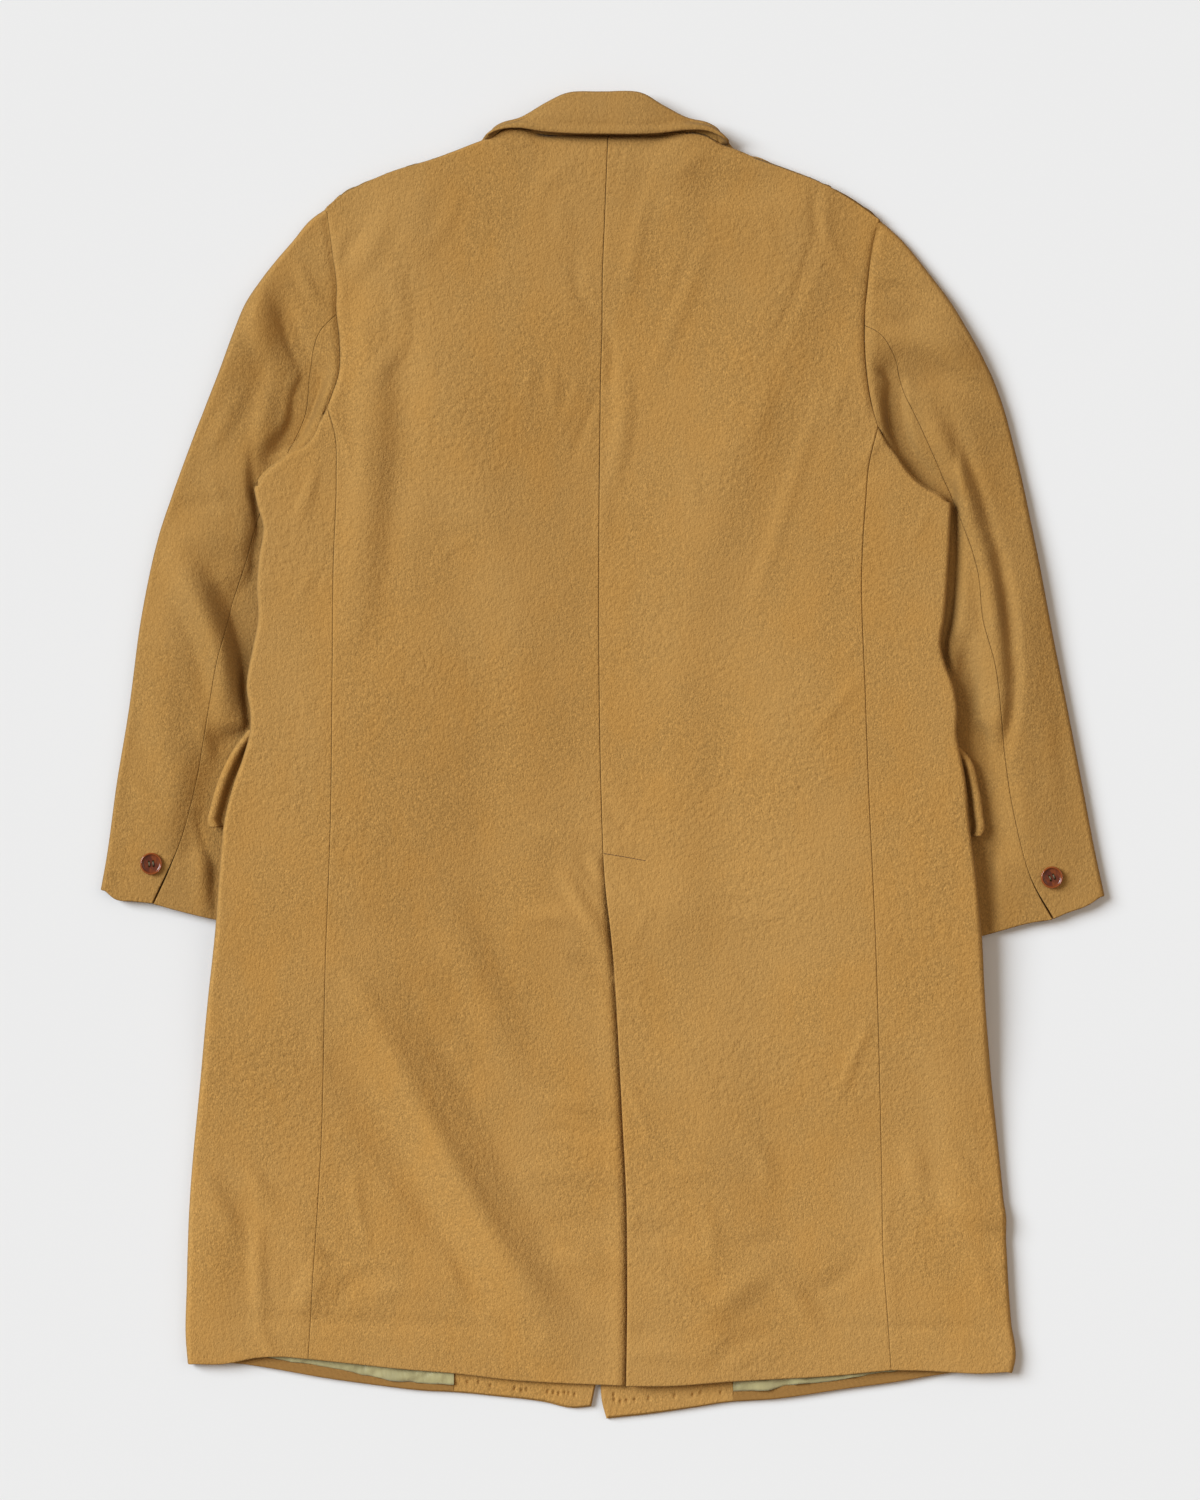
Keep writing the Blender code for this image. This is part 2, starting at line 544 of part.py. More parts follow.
def sleeve(side, finish):
    """The top sleeve, round the outer fold, and the undersleeve, round the inner one."""
    sign = SIGN[side]
    rows = np.linspace(0.0, 1.0, SLEEVE_ROWS + 1)
    inset = (HIGH - LOW) / 2 + HALF
    sleeve_outline = sample(half(SLEEVE_OUTER, side), rows)
    outer, outwards = shifted(sleeve_outline, -inset, (sign, 0))
    outwards[-1] = mitred(outwards[-1], armhole_end(side))
    outer[-1] = sleeve_outline[-1] - inset * outwards[-1] + (sign * 2 * SEAM_GAP, 0)
    inner, inwards = shifted(sample(half(SLEEVE_INNER, side), rows), -inset, (-sign, 0))
    hindarm = sample(half(HINDARM_SEAM, side), rows)
    top_seam, _ = shifted(hindarm, SEAM_GAP / 2, (sign, 0))
    under_seam, _ = shifted(hindarm, SEAM_GAP / 2, (-sign, 0))

    def head(table, count, clearance):
        """The sleeve's edge at the armhole, clear of the body's panels."""
        return shifted(along(half(table, side), count), clearance, (sign, 0))[0]

    top_columns, under_columns = 4, 6
    cuff = along(half(CUFF_OUTER, side), top_columns + 1)
    crown = head(SLEEVE_HEAD_OUTER, top_columns + 1, SEAM_GAP)
    cuff[0], cuff[-1], crown[0], crown[-1] = outer[0], top_seam[0], outer[-1], top_seam[-1]
    top_plan = patch(outer, top_seam, cuff, crown)
    cuff = along(half(CUFF_INNER, side), under_columns + 1)
    crown = head(SLEEVE_HEAD_INNER, under_columns + 1, 4 * SEAM_GAP)
    cuff[0], cuff[-1], crown[0], crown[-1] = under_seam[0], inner[0], under_seam[-1], inner[-1]
    under_plan = patch(under_seam, inner, cuff, crown)

    columns, seam_column = 9, 8
    cuff = along(half(CUFF_OUTER, side) + half(CUFF_INNER, side)[1:], columns + 1)
    crown = head({side: SLEEVE_HEAD_OUTER[side] + SLEEVE_HEAD_INNER[side][1:]}, columns + 1, 4 * SEAM_GAP)
    cuff[0], cuff[-1], crown[0], crown[-1] = outer[0], inner[0], outer[-1], inner[-1]
    floor_plan = patch(outer, inner, cuff, crown)
    top_floor = floor_plan[:, : seam_column + 1].copy()
    under_floor = floor_plan[:, seam_column:].copy()
    top_floor[:, -1], _ = shifted(top_floor[:, -1], SEAM_GAP / 2, (sign, 0))
    under_floor[:, 0], _ = shifted(under_floor[:, 0], SEAM_GAP / 2, (-sign, 0))

    high, low = np.full(len(outer), HIGH), np.full(len(outer), LOW)
    outer_fold = rounded_edge(outer, outwards, high, low)
    inner_fold = rounded_edge(inner, inwards, high, low)
    top_wall = raised(top_plan, sleeve_upper_height)
    top_wall[:, 0] = outer_fold[:, 0]
    top_grids = [top_wall, outer_fold, raised(top_floor, sleeve_lower_height)]
    cloth_piece(f"sleeve_top_{side}", top_grids, finish)
    under_wall = raised(under_plan, sleeve_upper_height)
    under_wall[:, -1] = inner_fold[:, 0]
    under_grids = [under_wall, inner_fold, raised(under_floor, sleeve_lower_height)]
    cloth_piece(f"sleeve_under_{side}", under_grids, finish)


def lapel(side, finish):
    """Turned back on the coat's outside along the roll line, so it lies on the floor under the front."""
    sign = SIGN[side]
    shares = np.linspace(0.04, 1.0, 10)
    roll = sample(half(ROLL_LINE, side), shares * LAPEL_TOP_SHARE)
    radius = LAPEL_LIFT / 2
    line, towards_middle = shifted(roll, -(radius + HALF), (-sign, 0))
    count = len(roll)
    fold = rounded_edge(line, towards_middle, np.full(count, LOW + LAPEL_LIFT), np.full(count, LOW))
    lip = fold[:, :1] - np.append(towards_middle * LIP, np.zeros((count, 1)), axis=1)[:, None]
    fold = np.concatenate([lip, fold], axis=1)
    reach = np.interp(shares, LAPEL["share"], LAPEL["reach"])
    tip_drop = LAPEL_TIP["drop"] * smooth_step((shares - LAPEL_TIP["from_share"]) / (1 - LAPEL_TIP["from_share"]))
    edge = roll + np.column_stack([sign * reach, -tip_drop])
    over = np.linspace(0.0, 1.0, 5)[None, :, None]
    plan = (1 - over) * line[:, None] + over * edge[:, None]
    return cloth_piece(f"lapel_{side}", [fold, raised(plan, lambda x, y: np.full_like(x, LOW))], finish)


def collar_section(seam, fold, fall):
    """One section of the collar: up the stand, round the fold and down the fall."""
    seam, fold, fall = (np.array(point, float) for point in (seam, fold, fall))
    tip = fold - (seam + fall) / 2
    tip /= np.linalg.norm(tip)
    across = fall - seam
    across -= (across @ tip) * tip
    across /= np.linalg.norm(across)
    centre = fold - tip * (COLLAR_FOLD_RADIUS + HALF)
    angles = np.linspace(-math.pi / 2, math.pi / 2, COLLAR_STEPS["fold"] + 1)
    bend = [centre + COLLAR_FOLD_RADIUS * (math.cos(a) * tip + math.sin(a) * across) for a in angles]
    stand = [seam + (bend[0] - seam) * k / COLLAR_STEPS["stand"] for k in range(COLLAR_STEPS["stand"])]
    steps = COLLAR_STEPS["fall"]
    return stand + bend + [bend[-1] + (fall - bend[-1]) * k / steps for k in range(1, steps + 1)]


def collar_line(points):
    """A line of the collar, with a row at each section and one between each two."""
    spaced = np.linspace(0.0, len(points) - 1.0, COLLAR_ROWS)
    knots = np.array(points, float)
    slopes = np.gradient(knots, axis=0)
    cell = np.minimum(spaced.astype(int), len(points) - 2)
    t = (spaced - cell)[:, None]
    start, stop = knots[cell], knots[cell + 1]
    return (
        (2 * t**3 - 3 * t**2 + 1) * start
        + (t**3 - 2 * t**2 + t) * slopes[cell]
        + (3 * t**2 - 2 * t**3) * stop
        + (t**3 - t**2) * slopes[cell + 1]
    )


def collar(finish):
    """A stand and a fall round the neck: above the back, and on the floor under the fronts."""
    sections = []
    for side in ("left", "right"):
        signed = [
            [(SIGN[side] * out, up, height) for out, up, height in section]
            for section in COLLAR_SECTIONS[side]
        ]
        sections += signed[::-1] if side == "left" else signed
    lines = [collar_line([section[k] for section in sections]) for k in range(3)]
    grid = np.array([collar_section(*section) for section in zip(*lines)])
    return cloth_piece("collar", [grid], finish)


def pocket_flap(side, finish):
    """Sewn on the front's outside: its end shows past the side fold."""
    sign = SIGN[side]
    outer = along(half(FLAP_OUTER, side), 5)
    inner = np.column_stack([np.full(5, sign * FLAP_INNER_X), outer[:, 1]])
    over = np.linspace(0.0, 1.0, 6)[None, :, None]
    plan = (1 - over) * outer[:, None] + over * inner[:, None]
    return cloth_piece(
        f"pocket_flap_{side}", [raised(plan, lambda x, y: under_flap(x, y) + SEAM_GAP + HALF)], finish
    )


def inside_of_front(thickness):
    """Middle height of a layer that lies on the inside of the front."""
    return lambda x, y: front_height(x, y) + HALF + SEAM_GAP + thickness / 2


def hem_pieces(side, facing_finish, lining_finish, band_finish):
    """What shows of the front's inside at the hem: the facing, the turned-up hem and the lining."""
    sign = SIGN[side]
    border = FACING_SIDE[side]
    hem = sample(half(FRONT_HEM, side), np.linspace(0.0, 1.0, 60))
    by_x = np.argsort(hem[:, 0])

    def hem_y(x):
        return np.interp(x, hem[by_x, 0], hem[by_x, 1])

    def between(name, x, lower, upper, rows, thickness, finish):
        over = np.linspace(0.0, 1.0, rows + 1)[:, None]
        plan = np.stack([np.tile(x, (rows + 1, 1)), lower + (upper - lower) * over], axis=-1)
        cloth_piece(f"{name}_{side}", [raised(plan, inside_of_front(thickness))], finish, thickness)

    x = sign * np.linspace(12.0 if side == "left" else 5.5, border - SEAM_GAP / 2, 7)
    between("facing", x, hem_y(x) + HEM_LAYER_INSET, np.full(7, LINING_TOP), 3, FACING_CLOTH, facing_finish)
    top = np.array(half(HEM_BAND_TOP, side))
    by_top = np.argsort(top[:, 0])
    x = sign * np.linspace(border + SEAM_GAP / 2, 328.0, 9)
    band_top = np.interp(x, top[by_top, 0], top[by_top, 1])
    between("hem_band", x, hem_y(x) + HEM_LAYER_INSET, band_top, 1, FACING_CLOTH, band_finish)
    between("lining", x, band_top + SEAM_GAP, np.full(9, LINING_TOP), 3, LINING_CLOTH, lining_finish)


def button(name, sizes, place, faces_up, finish):
    """A turned button with a raised rim round a shallow dish."""
    radius, thick = sizes["across"] / 2, sizes["thick"]
    profile = [(0, 0.55), (0.55, 0.55), (0.72, 0.95), (0.86, 1.0), (1.0, 0.72), (1.0, 0.35), (0.86, 0.05),
               (0, 0)]
    mesh = bpy.data.meshes.new(name)
    points = [(radius * out * MM, 0, thick * up * MM) for out, up in profile]
    mesh.from_pydata(points, [(k, k + 1) for k in range(len(points) - 1)], [])
    piece = bpy.data.objects.new(name, mesh)
    piece.data.materials.append(finish)
    turn = piece.modifiers.new("turn", "SCREW")
    turn.steps = turn.render_steps = 16
    turn.use_merge_vertices = True
    turn.merge_threshold = 0.00005
    piece.location = [value * MM for value in place]
    if not faces_up:
        piece.rotation_euler = (math.pi, 0, 0)
    coat.objects.link(piece)
    return piece


for old in list(bpy.data.objects):
    bpy.data.objects.remove(old, do_unlink=True)
coat = bpy.data.collections.new("wool_overcoat")
bpy.context.scene.collection.children.link(coat)

wool = material("camel_wool", (0.45, 0.25, 0.075), 0.9)
sleeve_wool = material("camel_wool_sleeve", (0.40, 0.21, 0.06), 0.9)
collar_wool = material("camel_wool_collar", (0.40, 0.22, 0.063), 0.9)
facing_wool = material("camel_wool_facing", (0.46, 0.26, 0.085), 0.85)
band_wool = material("camel_wool_hem", (0.36, 0.19, 0.055), 0.9)
satin = material("sage_lining", (0.43, 0.37, 0.168), 0.45)
horn = material("brown_horn", (0.16, 0.045, 0.012), 0.25)

for half_name in ("left", "right"):
    back_panel(half_name, wool)
    front_panel(half_name, wool)
    sleeve(half_name, sleeve_wool)
    lapel(half_name, collar_wool)
    pocket_flap(half_name, wool)
    hem_pieces(half_name, facing_wool, satin, band_wool)
collar(collar_wool)

button("cuff_button_left", CUFF_BUTTON, (-404.8, -97.7, HIGH + HALF + SEAM_GAP), True, horn)
button("cuff_button_right", CUFF_BUTTON, (404.2, -110.0, HIGH + HALF + SEAM_GAP), True, horn)
for number, button_y in enumerate(FRONT_BUTTON_HEIGHTS, start=1):
    button_place = (FRONT_BUTTON_INSET, button_y, LAPEL_LIFT - SEAM_GAP)
    button(f"front_button_{number}", FRONT_BUTTON, button_place, False, horn)
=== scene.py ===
"""Looks of the wool overcoat, which lies flat and face down.

The frame: +Y runs from the hem to the collar, +Z is up and z = 0 is the surface that the coat lies on.
Tables are in millimetres and hold distances outwards from the middle for each half of the coat.
The wearer's left half is on the -X side. Each piece of cloth is a fine grid of points on the form of
its solid, with its creases added, and a Solidify modifier gives it its thickness.
"""

import math

import bmesh
import bpy
import numpy as np
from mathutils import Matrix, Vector


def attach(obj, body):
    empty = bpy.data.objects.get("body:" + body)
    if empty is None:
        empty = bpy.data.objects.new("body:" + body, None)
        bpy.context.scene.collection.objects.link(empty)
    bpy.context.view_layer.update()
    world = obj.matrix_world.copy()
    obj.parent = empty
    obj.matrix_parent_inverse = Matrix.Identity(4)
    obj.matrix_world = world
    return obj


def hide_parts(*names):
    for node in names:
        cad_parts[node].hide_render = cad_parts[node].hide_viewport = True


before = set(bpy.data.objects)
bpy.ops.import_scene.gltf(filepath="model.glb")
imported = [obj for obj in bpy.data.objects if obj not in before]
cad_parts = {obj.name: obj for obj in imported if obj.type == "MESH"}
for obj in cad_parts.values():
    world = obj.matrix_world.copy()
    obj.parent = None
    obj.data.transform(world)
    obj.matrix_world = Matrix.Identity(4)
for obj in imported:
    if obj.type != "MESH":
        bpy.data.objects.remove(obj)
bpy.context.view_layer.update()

MM = 0.001
SIGN = {"left": -1.0, "right": 1.0}

# Driving dimensions, in millimetres
CLOTH = 3.0
FACING_CLOTH = 1.5
LINING_CLOTH = 1.0
HALF = CLOTH / 2
SEAM_GAP = 0.16
AIR = 2.5
HEM_AIR = 4.0
LOW = HALF
HIGH = CLOTH + AIR + HALF
FOLD_STEPS = 12
SLEEVE_LIFT = 10.4
LAPEL_LIFT = 4.4
FLAP_LIFT = 4.0
VENT_LIFT = 4.2
VENT_UNDERLAP = 40.0
CUFF_BUTTON = {"across": 20.0, "thick": 3.6}
FRONT_BUTTON = {"across": 28.0, "thick": 3.8}
FRONT_BUTTON_HEIGHTS = (130.0, 15.0, -100.0)
FRONT_BUTTON_INSET = 24.0
LIP = 0.8
VENT_TOP_OF_UNDERLAP = -160.0

# Colours, as linear light, and the studio
CAMEL = (0.455, 0.245, 0.068)
SAGE = (0.44, 0.39, 0.19)
HORN_RIM = (0.30, 0.070, 0.010)
HORN_HEART = (0.105, 0.022, 0.012)
# The turned-up hem's camel is painted about 15% lighter and a little redder than the coat's, as painted light
# against the shade it lies in under the back's hem.
PAINTED_LIGHTER_HEM_BAND = (0.53, 0.275, 0.078)
BUTTON_THREAD_COLOUR = (0.17, 0.15, 0.085)
WOOL_THREAD_COLOUR = (0.10, 0.04, 0.012)
# The room and the weaker light are a little warmer than the main one, and on flat ground they add up to white
ROOM_LIGHT = 0.24
WARM_FILL = (1.12, 0.96, 0.80)
COOL_KEY = (0.937, 1.02, 1.10)
# Large soft lights far off: where each shines from, its strength, its width in degrees and its colour
SOFT_LIGHTS = {
    "columns": ("name", "from", "strength", "width", "colour"),
    "rows": [
        ("soft_left", (-0.77, 0.32, 0.55), 3.75, 34.0, COOL_KEY),
        ("soft_right", (0.70, 0.15, 0.67), 0.45, 50.0, WARM_FILL),
    ],
}
CAMERA_HEIGHT = 6.0
PHOTO_HEIGHT = 1.35
PHOTO_CENTRE = (-0.0018, 0.0045)

# Outlines of the pieces, as (outwards, along), from the hem or cuff upwards and from the side inwards
SIDE_FOLD = {
    "left": [(372.6, -548), (374.4, -525), (373, -472), (370.5, -400), (361, -292), (354, -220),
             (347.4, -160), (343, -101), (338, -54), (330, -24), (321.5, 0), (316, 22), (316, 39),
             (319, 58), (314, 95), (309, 122), (310, 152), (308, 178), (304.5, 206), (309, 222), (313, 241)],
    "right": [(369, -556), (371.7, -545), (368, -508), (361, -400), (350, -292), (344, -220),
              (341, -163), (336, -110), (329, -54), (326, -20), (321, 5), (318.6, 18), (319, 40),
              (316, 60), (308, 82), (304.5, 97), (308, 124), (311, 164), (313, 203), (314, 227)],
}
SIDE_SEAM = {
    "left": [(264, -543), (260, -474), (252.6, -355), (248, -183), (243.5, -60), (242, 71),
             (241, 176), (238.5, 250), (240, 289), (246.6, 312)],
    "right": [(260, -553), (257, -509), (253, -452), (251.5, -374), (245, -153), (239.5, -34),
              (236.5, 50), (233.6, 176), (237, 229), (240, 262), (248, 294)],
}
ARMHOLE_ABOVE_SEAM = {
    "left": [(246.6, 312), (242, 325), (237, 340), (236, 373), (239, 400), (239, 424), (243, 451),
             (249, 491)],
    "right": [(248, 294), (241, 319), (238, 338), (236, 363), (236, 394), (239, 424), (244, 458),
              (250, 481)],
}
ARMHOLE_BELOW_SEAM = {
    "left": [(313, 241), (305, 253), (292, 264), (281, 272), (267.5, 278), (260, 286), (254, 298),
             (246.6, 312)],
    "right": [(314, 227), (307, 233), (293, 240), (283.5, 247), (274, 257), (265.5, 269), (257, 279),
              (248, 294)],
}
SHOULDER = {
    "left": [(249, 491), (240, 499.5), (218, 512), (191, 523.8), (150, 536.4), (130.5, 543.6), (119, 548.2),
             (111, 551.2), (104, 553.6)],
    "right": [(250, 481), (241, 488), (214, 506), (187, 519), (160, 529), (133, 539), (125, 542.3),
              (119, 544.8), (113, 546.8)],
}
FRONT_NECK_POINT = {
    "left": [(130.5, 543), (119, 540), (110, 533)],
    "right": [(133, 538.5), (124, 536), (116, 529)],
}
BACK_NECK = {
    "left": [(104, 553.6), (98, 556), (90, 558.8), (80, 560.4), (70, 559.8), (58, 558.4), (38, 557.6),
             (18, 557.3), (-5, 557.2)],
    "right": [(113, 546.8), (106, 549), (99, 551.6), (91, 554.6), (83, 556.4), (74, 557), (62, 557.2),
              (48, 557.2), (28, 557.2), (5, 557.2)],
}
# The middle seam and the edge of the vent, as (along, across): both halves share them
MIDDLE_SEAM = [(-90, 0.9), (-63, 0), (-40, -0.7), (303, -1.8), (340, -1.3), (388, 0), (430, 0.3), (478, 2.2),
               (525, 4), (557.2, 5.3)]
VENT_EDGE = [(-567, 21.6), (-490, 22.5), (-400, 21.8), (-316, 17.6), (-247, 14), (-211, 12), (-183, 10),
             (-155, 7.2), (-128, 3.9), (-90, 0.9)]
BACK_HEM = {
    "left": [(264, -543), (231, -546), (182, -550.5), (131, -554), (81, -559), (39, -561), (-21.3, -562.5)],
    "right": [(260, -553), (196, -559), (157, -561), (117, -563), (58, -567), (21.6, -567)],
}
STRIP_HEM = {
    "left": [(372.6, -548), (346, -548), (311, -542), (297, -541), (264, -543)],
    "right": [(369, -556), (340, -557), (322, -556), (293, -554), (260, -553)],
}
FRONT_HEM = {
    "left": [(372.6, -548), (331, -548), (309, -551), (251, -561), (207, -567), (164, -572), (133, -573.5),
             (96, -577), (53, -582), (27, -587.5), (9.6, -586)],
    "right": [(369, -556), (322, -556), (300, -559), (265, -565), (221, -571), (157.5, -580), (112, -583),
              (86, -587), (43, -593), (4, -597)],
}
FRONT_EDGE = {
    "left": [(9.6, -586), (7.5, -575), (4.8, -562), (4.2, -500), (3.0, -400), (1.8, -100), (1.8, 160)],
    "right": [(4, -597), (0, -582), (-1.6, -562), (-1.2, -500), (0.2, -400), (1.8, -100), (1.8, 160)],
}
ROLL_LINE = {
    "left": [(1.8, 160), (30, 270), (59, 380), (79, 460), (92, 505), (101, 530)],
    "right": [(1.8, 160), (30, 270), (60, 380), (81, 460), (96, 502), (107, 526)],
}
SLEEVE_OUTER = {
    "left": [(451, -121.5), (446, -94.5), (436, -22.5), (424, 49.5), (414, 121.5), (399, 193.5),
             (375, 265.5), (345.6, 337.5), (316, 409.5), (305, 427.5), (277, 463.5), (262, 481.5),
             (249, 491)],
    "right": [(452, -127), (445, -94.5), (431, -22.5), (417, 49.5), (402, 121.5), (388, 193.5),
              (373.5, 265.5), (351, 337.5), (331.5, 373.5), (310.5, 409.5), (297.5, 427.5),
              (269, 463.5), (250, 481)],
}
HINDARM_SEAM = {
    "left": [(403, -134), (391, -108), (380, -80), (365, -24), (355, 31), (343, 94), (334, 131), (320, 175),
             (313, 202), (297, 240), (280, 275), (267, 305), (262, 346), (253, 381), (239, 396)],
    "right": [(405, -148), (388, -117), (371, -56), (360, 18), (353, 82), (343, 120), (338, 164), (319, 221),
              (304, 256), (289, 289), (269, 334), (262, 360), (250, 378), (236.5, 386)],
}
SLEEVE_INNER = {
    "left": [(298, -157.5), (275, -80), (252, 10), (232, 90), (219, 160), (213, 215), (216, 243)],
    "right": [(297, -173), (276, -90), (252, 10), (232, 90), (219, 160), (213, 205), (216, 235)],
}
CUFF_OUTER = {
    "left": [(451, -121.5), (441, -129), (420, -132), (403, -134)],
    "right": [(452, -127), (441, -134), (417, -143), (405, -148)],
}
CUFF_INNER = {
    "left": [(403, -134), (378, -141), (347, -148.5), (298, -157.5)],
    "right": [(405, -148), (386, -151), (341, -163), (297, -173)],
}
SLEEVE_HEAD_OUTER = {
    "left": [(249, 491), (243, 451), (239, 424), (239, 396)],
    "right": [(250, 481), (244, 458), (239, 424), (236.5, 386)],
}
SLEEVE_HEAD_INNER = {
    "left": [(239, 396), (236, 373), (237, 340), (242, 325), (249, 306), (247, 284), (234, 262),
             (216, 243)],
    "right": [(236.5, 386), (236, 363), (238, 338), (241, 319), (249, 294), (247, 272), (234, 252),
              (216, 235)],
}
FLAP_OUTER = {
    "left": [(351, -65), (354, -59), (352, -49.5), (342.5, -18.5), (331, 4.5), (317, 22.5)],
    "right": [(340, -73), (343, -68), (342, -53), (338, -28), (331, -4.5), (319, 9)],
}
FLAP_INNER_X = 216.0
HEM_BAND_TOP = {
    "left": [(330, -536), (292, -543), (265, -548), (224, -555), (195, -562), (164, -565), (134, -566)],
    "right": [(330, -545), (300, -550), (241, -557), (200, -564), (165, -567), (150, -571), (119, -572)],
}
FACING_SIDE = {"left": 133.0, "right": 118.0}
LINING_TOP = -500.0

# The lapel: how far it reaches from the roll line, at each share of its length
LAPEL = {"share": (0.0, 0.2, 0.45, 0.7, 0.9, 1.0), "reach": (6.0, 34.0, 58.0, 72.0, 80.0, 78.0)}
LAPEL_TOP_SHARE = 0.72
LAPEL_TIP = {"from_share": 0.6, "drop": 26.0}
HEM_LAYER_INSET = 1.2
UNDER_INSET = 0.5

# Where the coat's body rises over what lies under it: how far inwards it starts, the width of its slope,
# and the heights along the coat that it fades at, with the lengths of those fades
SLEEVE_RISE = {"start": 28.0, "slope": 90.0, "top": 400.0, "top_fade": 75.0, "foot": -300.0, "foot_fade": 95.0}
FLAP_RISE = {"start": 110.0, "slope": 70.0, "top": 130.0, "top_fade": 70.0, "foot": -180.0, "foot_fade": 75.0}
LAPEL_RISE = {"slope": 62.0, "foot": -225.0, "foot_fade": 90.0}
LAPEL_RISE_WIDTH = {"along": (-260, -150, 60, 180, 330, 420), "half_width": (40, 55, 60, 80, 130, 172)}
# The upper wall spans the hollows beside what lies under it, in longer slopes
SLEEVE_SPAN = {
    "start": 28.0, "slope": 230.0, "top": 440.0, "top_fade": 150.0, "foot": -380.0, "foot_fade": 175.0,
}
FLAP_SPAN = {
    "start": 10.0, "slope": 185.0, "top": 170.0, "top_fade": 140.0, "foot": -240.0, "foot_fade": 135.0,
}
VENT_RISE = {"top": -90.0, "top_fade": 55.0, "reach": 110.0, "slope": 80.0}

# Largest soft folds of the back: where the crest starts, bends and ends, its height and half width
CREASE_COLUMNS = ("x0", "y0", "x1", "y1", "x2", "y2", "height", "half_width")
BACK_FOLDS = {
    "columns": CREASE_COLUMNS,
    "rows": [
        (-206, -232, -129, -372, -50, -520, 8.6, 44),
        (-140, -135, -110, -205, -76, -285, 3.2, 30),
        (-205, 444, -207, 290, -222, 116, 3.8, 27),
        (-175, 440, -178, 290, -195, 116, -1.6, 24),
        (-236, -176, -176, -184, -104, -196, 1.8, 34),
        (62, 545, 66, 515, 74, 480, 2.6, 34),
        (302, -250, 322, -330, 330, -420, 2.4, 34),
        (-346, -360, -352, -430, -350, -510, 3.0, 36),
        (110, -400, 150, -450, 190, -470, 1.8, 40),
    ],
}
SLEEVE_FOLDS = {
    "columns": CREASE_COLUMNS,
    "rows": [
        (-296, 440, -318, 380, -352, 300, 4.0, 34),
        (-372, 210, -388, 120, -396, 20, 3.5, 36),
        (292, 420, 318, 370, 340, 300, 4.0, 34),
        (378, 220, 380, 120, 386, 10, 3.5, 34),
    ],
}

# Sections of the collar, from the middle of the back round to the front: the neck seam, the fold at the
# top of the stand and the free edge of the fall, each as (outwards, along, height)
COLLAR_SECTIONS = {
    "columns": ("seam", "fold", "fall"),
    "left": [
        ((3, 557.6, 2.0), (3, 596.0, 13.5), (3, 557.0, 20.0)),
        ((30, 557.4, 2.0), (29, 595.3, 13.5), (28, 557.4, 20.0)),
        ((52, 556.4, 3.0), (49, 586.5, 13.5), (52, 559.2, 19.5)),
        ((72, 549.3, 6.8), (71, 573.6, 13.5), (74, 562.4, 19.0)),
        ((88, 546.4, 7.2), (89, 568.3, 13.5), (91, 561.2, 18.0)),
        ((95.0, 544.7, 7.6), (96.5, 561.8, 12.0), (103, 556.0, 16.5)),
        ((97.5, 544.5, 9.0), (95.0, 548.5, 7.0), (108, 552.5, 7.0)),
        ((100.5, 534.0, 6.6), (94.0, 533.5, 4.2), (119, 542.5, 2.6)),
        ((98.5, 521.0, 6.0), (92.0, 520.0, 4.0), (134, 523.0, 1.9)),
        ((93.0, 500.0, 6.0), (87.0, 499.0, 4.0), (140, 492.0, 1.9)),
        ((83.5, 464.0, 6.0), (77.5, 463.5, 4.0), (134, 456.0, 1.9)),
    ],
    "right": [
        ((3, 557.6, 2.0), (3, 596.0, 13.5), (3, 557.0, 20.0)),
        ((30, 557.4, 2.0), (33, 595.5, 13.5), (30, 556.8, 20.0)),
        ((54, 556.2, 3.0), (54, 584.0, 13.5), (54, 558.0, 19.5)),
        ((75, 548.2, 6.8), (75, 573.0, 13.5), (77, 560.6, 19.0)),
        ((92, 543.8, 7.2), (94, 568.4, 13.5), (96, 559.5, 18.0)),
        ((101.0, 541.2, 7.6), (103.5, 560.5, 12.0), (112, 551.5, 16.5)),
        ((104.0, 541.5, 9.0), (101.5, 545.5, 7.0), (115, 548.5, 7.0)),
        ((106.5, 530.5, 6.6), (100.0, 530.0, 4.2), (125, 538.5, 2.6)),
        ((103.5, 518.0, 6.0), (97.0, 517.0, 4.0), (138, 519.0, 1.9)),
        ((95.8, 498.0, 6.0), (89.8, 497.0, 4.0), (142, 490.0, 1.9)),
        ((85.5, 464.0, 6.0), (79.5, 463.5, 4.0), (136, 455.0, 1.9)),
    ],
}
COLLAR_FOLD_RADIUS = 2.2
COLLAR_STEPS = {"fold": 12, "fall": 16}
COLLAR_LENGTH = 520.0
# The fall bows out a little, and where it lies on the back its rim is raised, with a dip above it
COLLAR_BOW = 0.8
COLLAR_ON_BACK = {"from": 548.0, "fade": 6.0, "uneven": 0.35}
FALL_RIM = {"rise": 0.9, "at": 3.2, "half_width": 3.4, "dip": 0.7, "dip_at": 8.5, "dip_half_width": 5.0}


def smooth_step(value):
    """0 below 0, 1 above 1, with a cosine's rise between."""
    return 0.5 - 0.5 * np.cos(np.pi * np.clip(value, 0.0, 1.0))


def bulge(value, at, half_width):
    """1 at a value, down to 0 at a half width from it."""
    return smooth_step(1 - np.abs(value - at) / half_width)


def run_of(points):
    """How far along a line each of its points is."""
    return np.concatenate([[0.0], np.cumsum(np.linalg.norm(np.diff(points, axis=0), axis=1))])


def bent(t, start, stop, leaves, arrives):
    """Points at shares t of curves from start to stop, which leave and arrive with these slopes."""
    return (
        (2 * t**3 - 3 * t**2 + 1) * start
        + (t**3 - 2 * t**2 + t) * leaves
        + (3 * t**2 - 2 * t**3) * stop
        + (t**3 - t**2) * arrives
    )


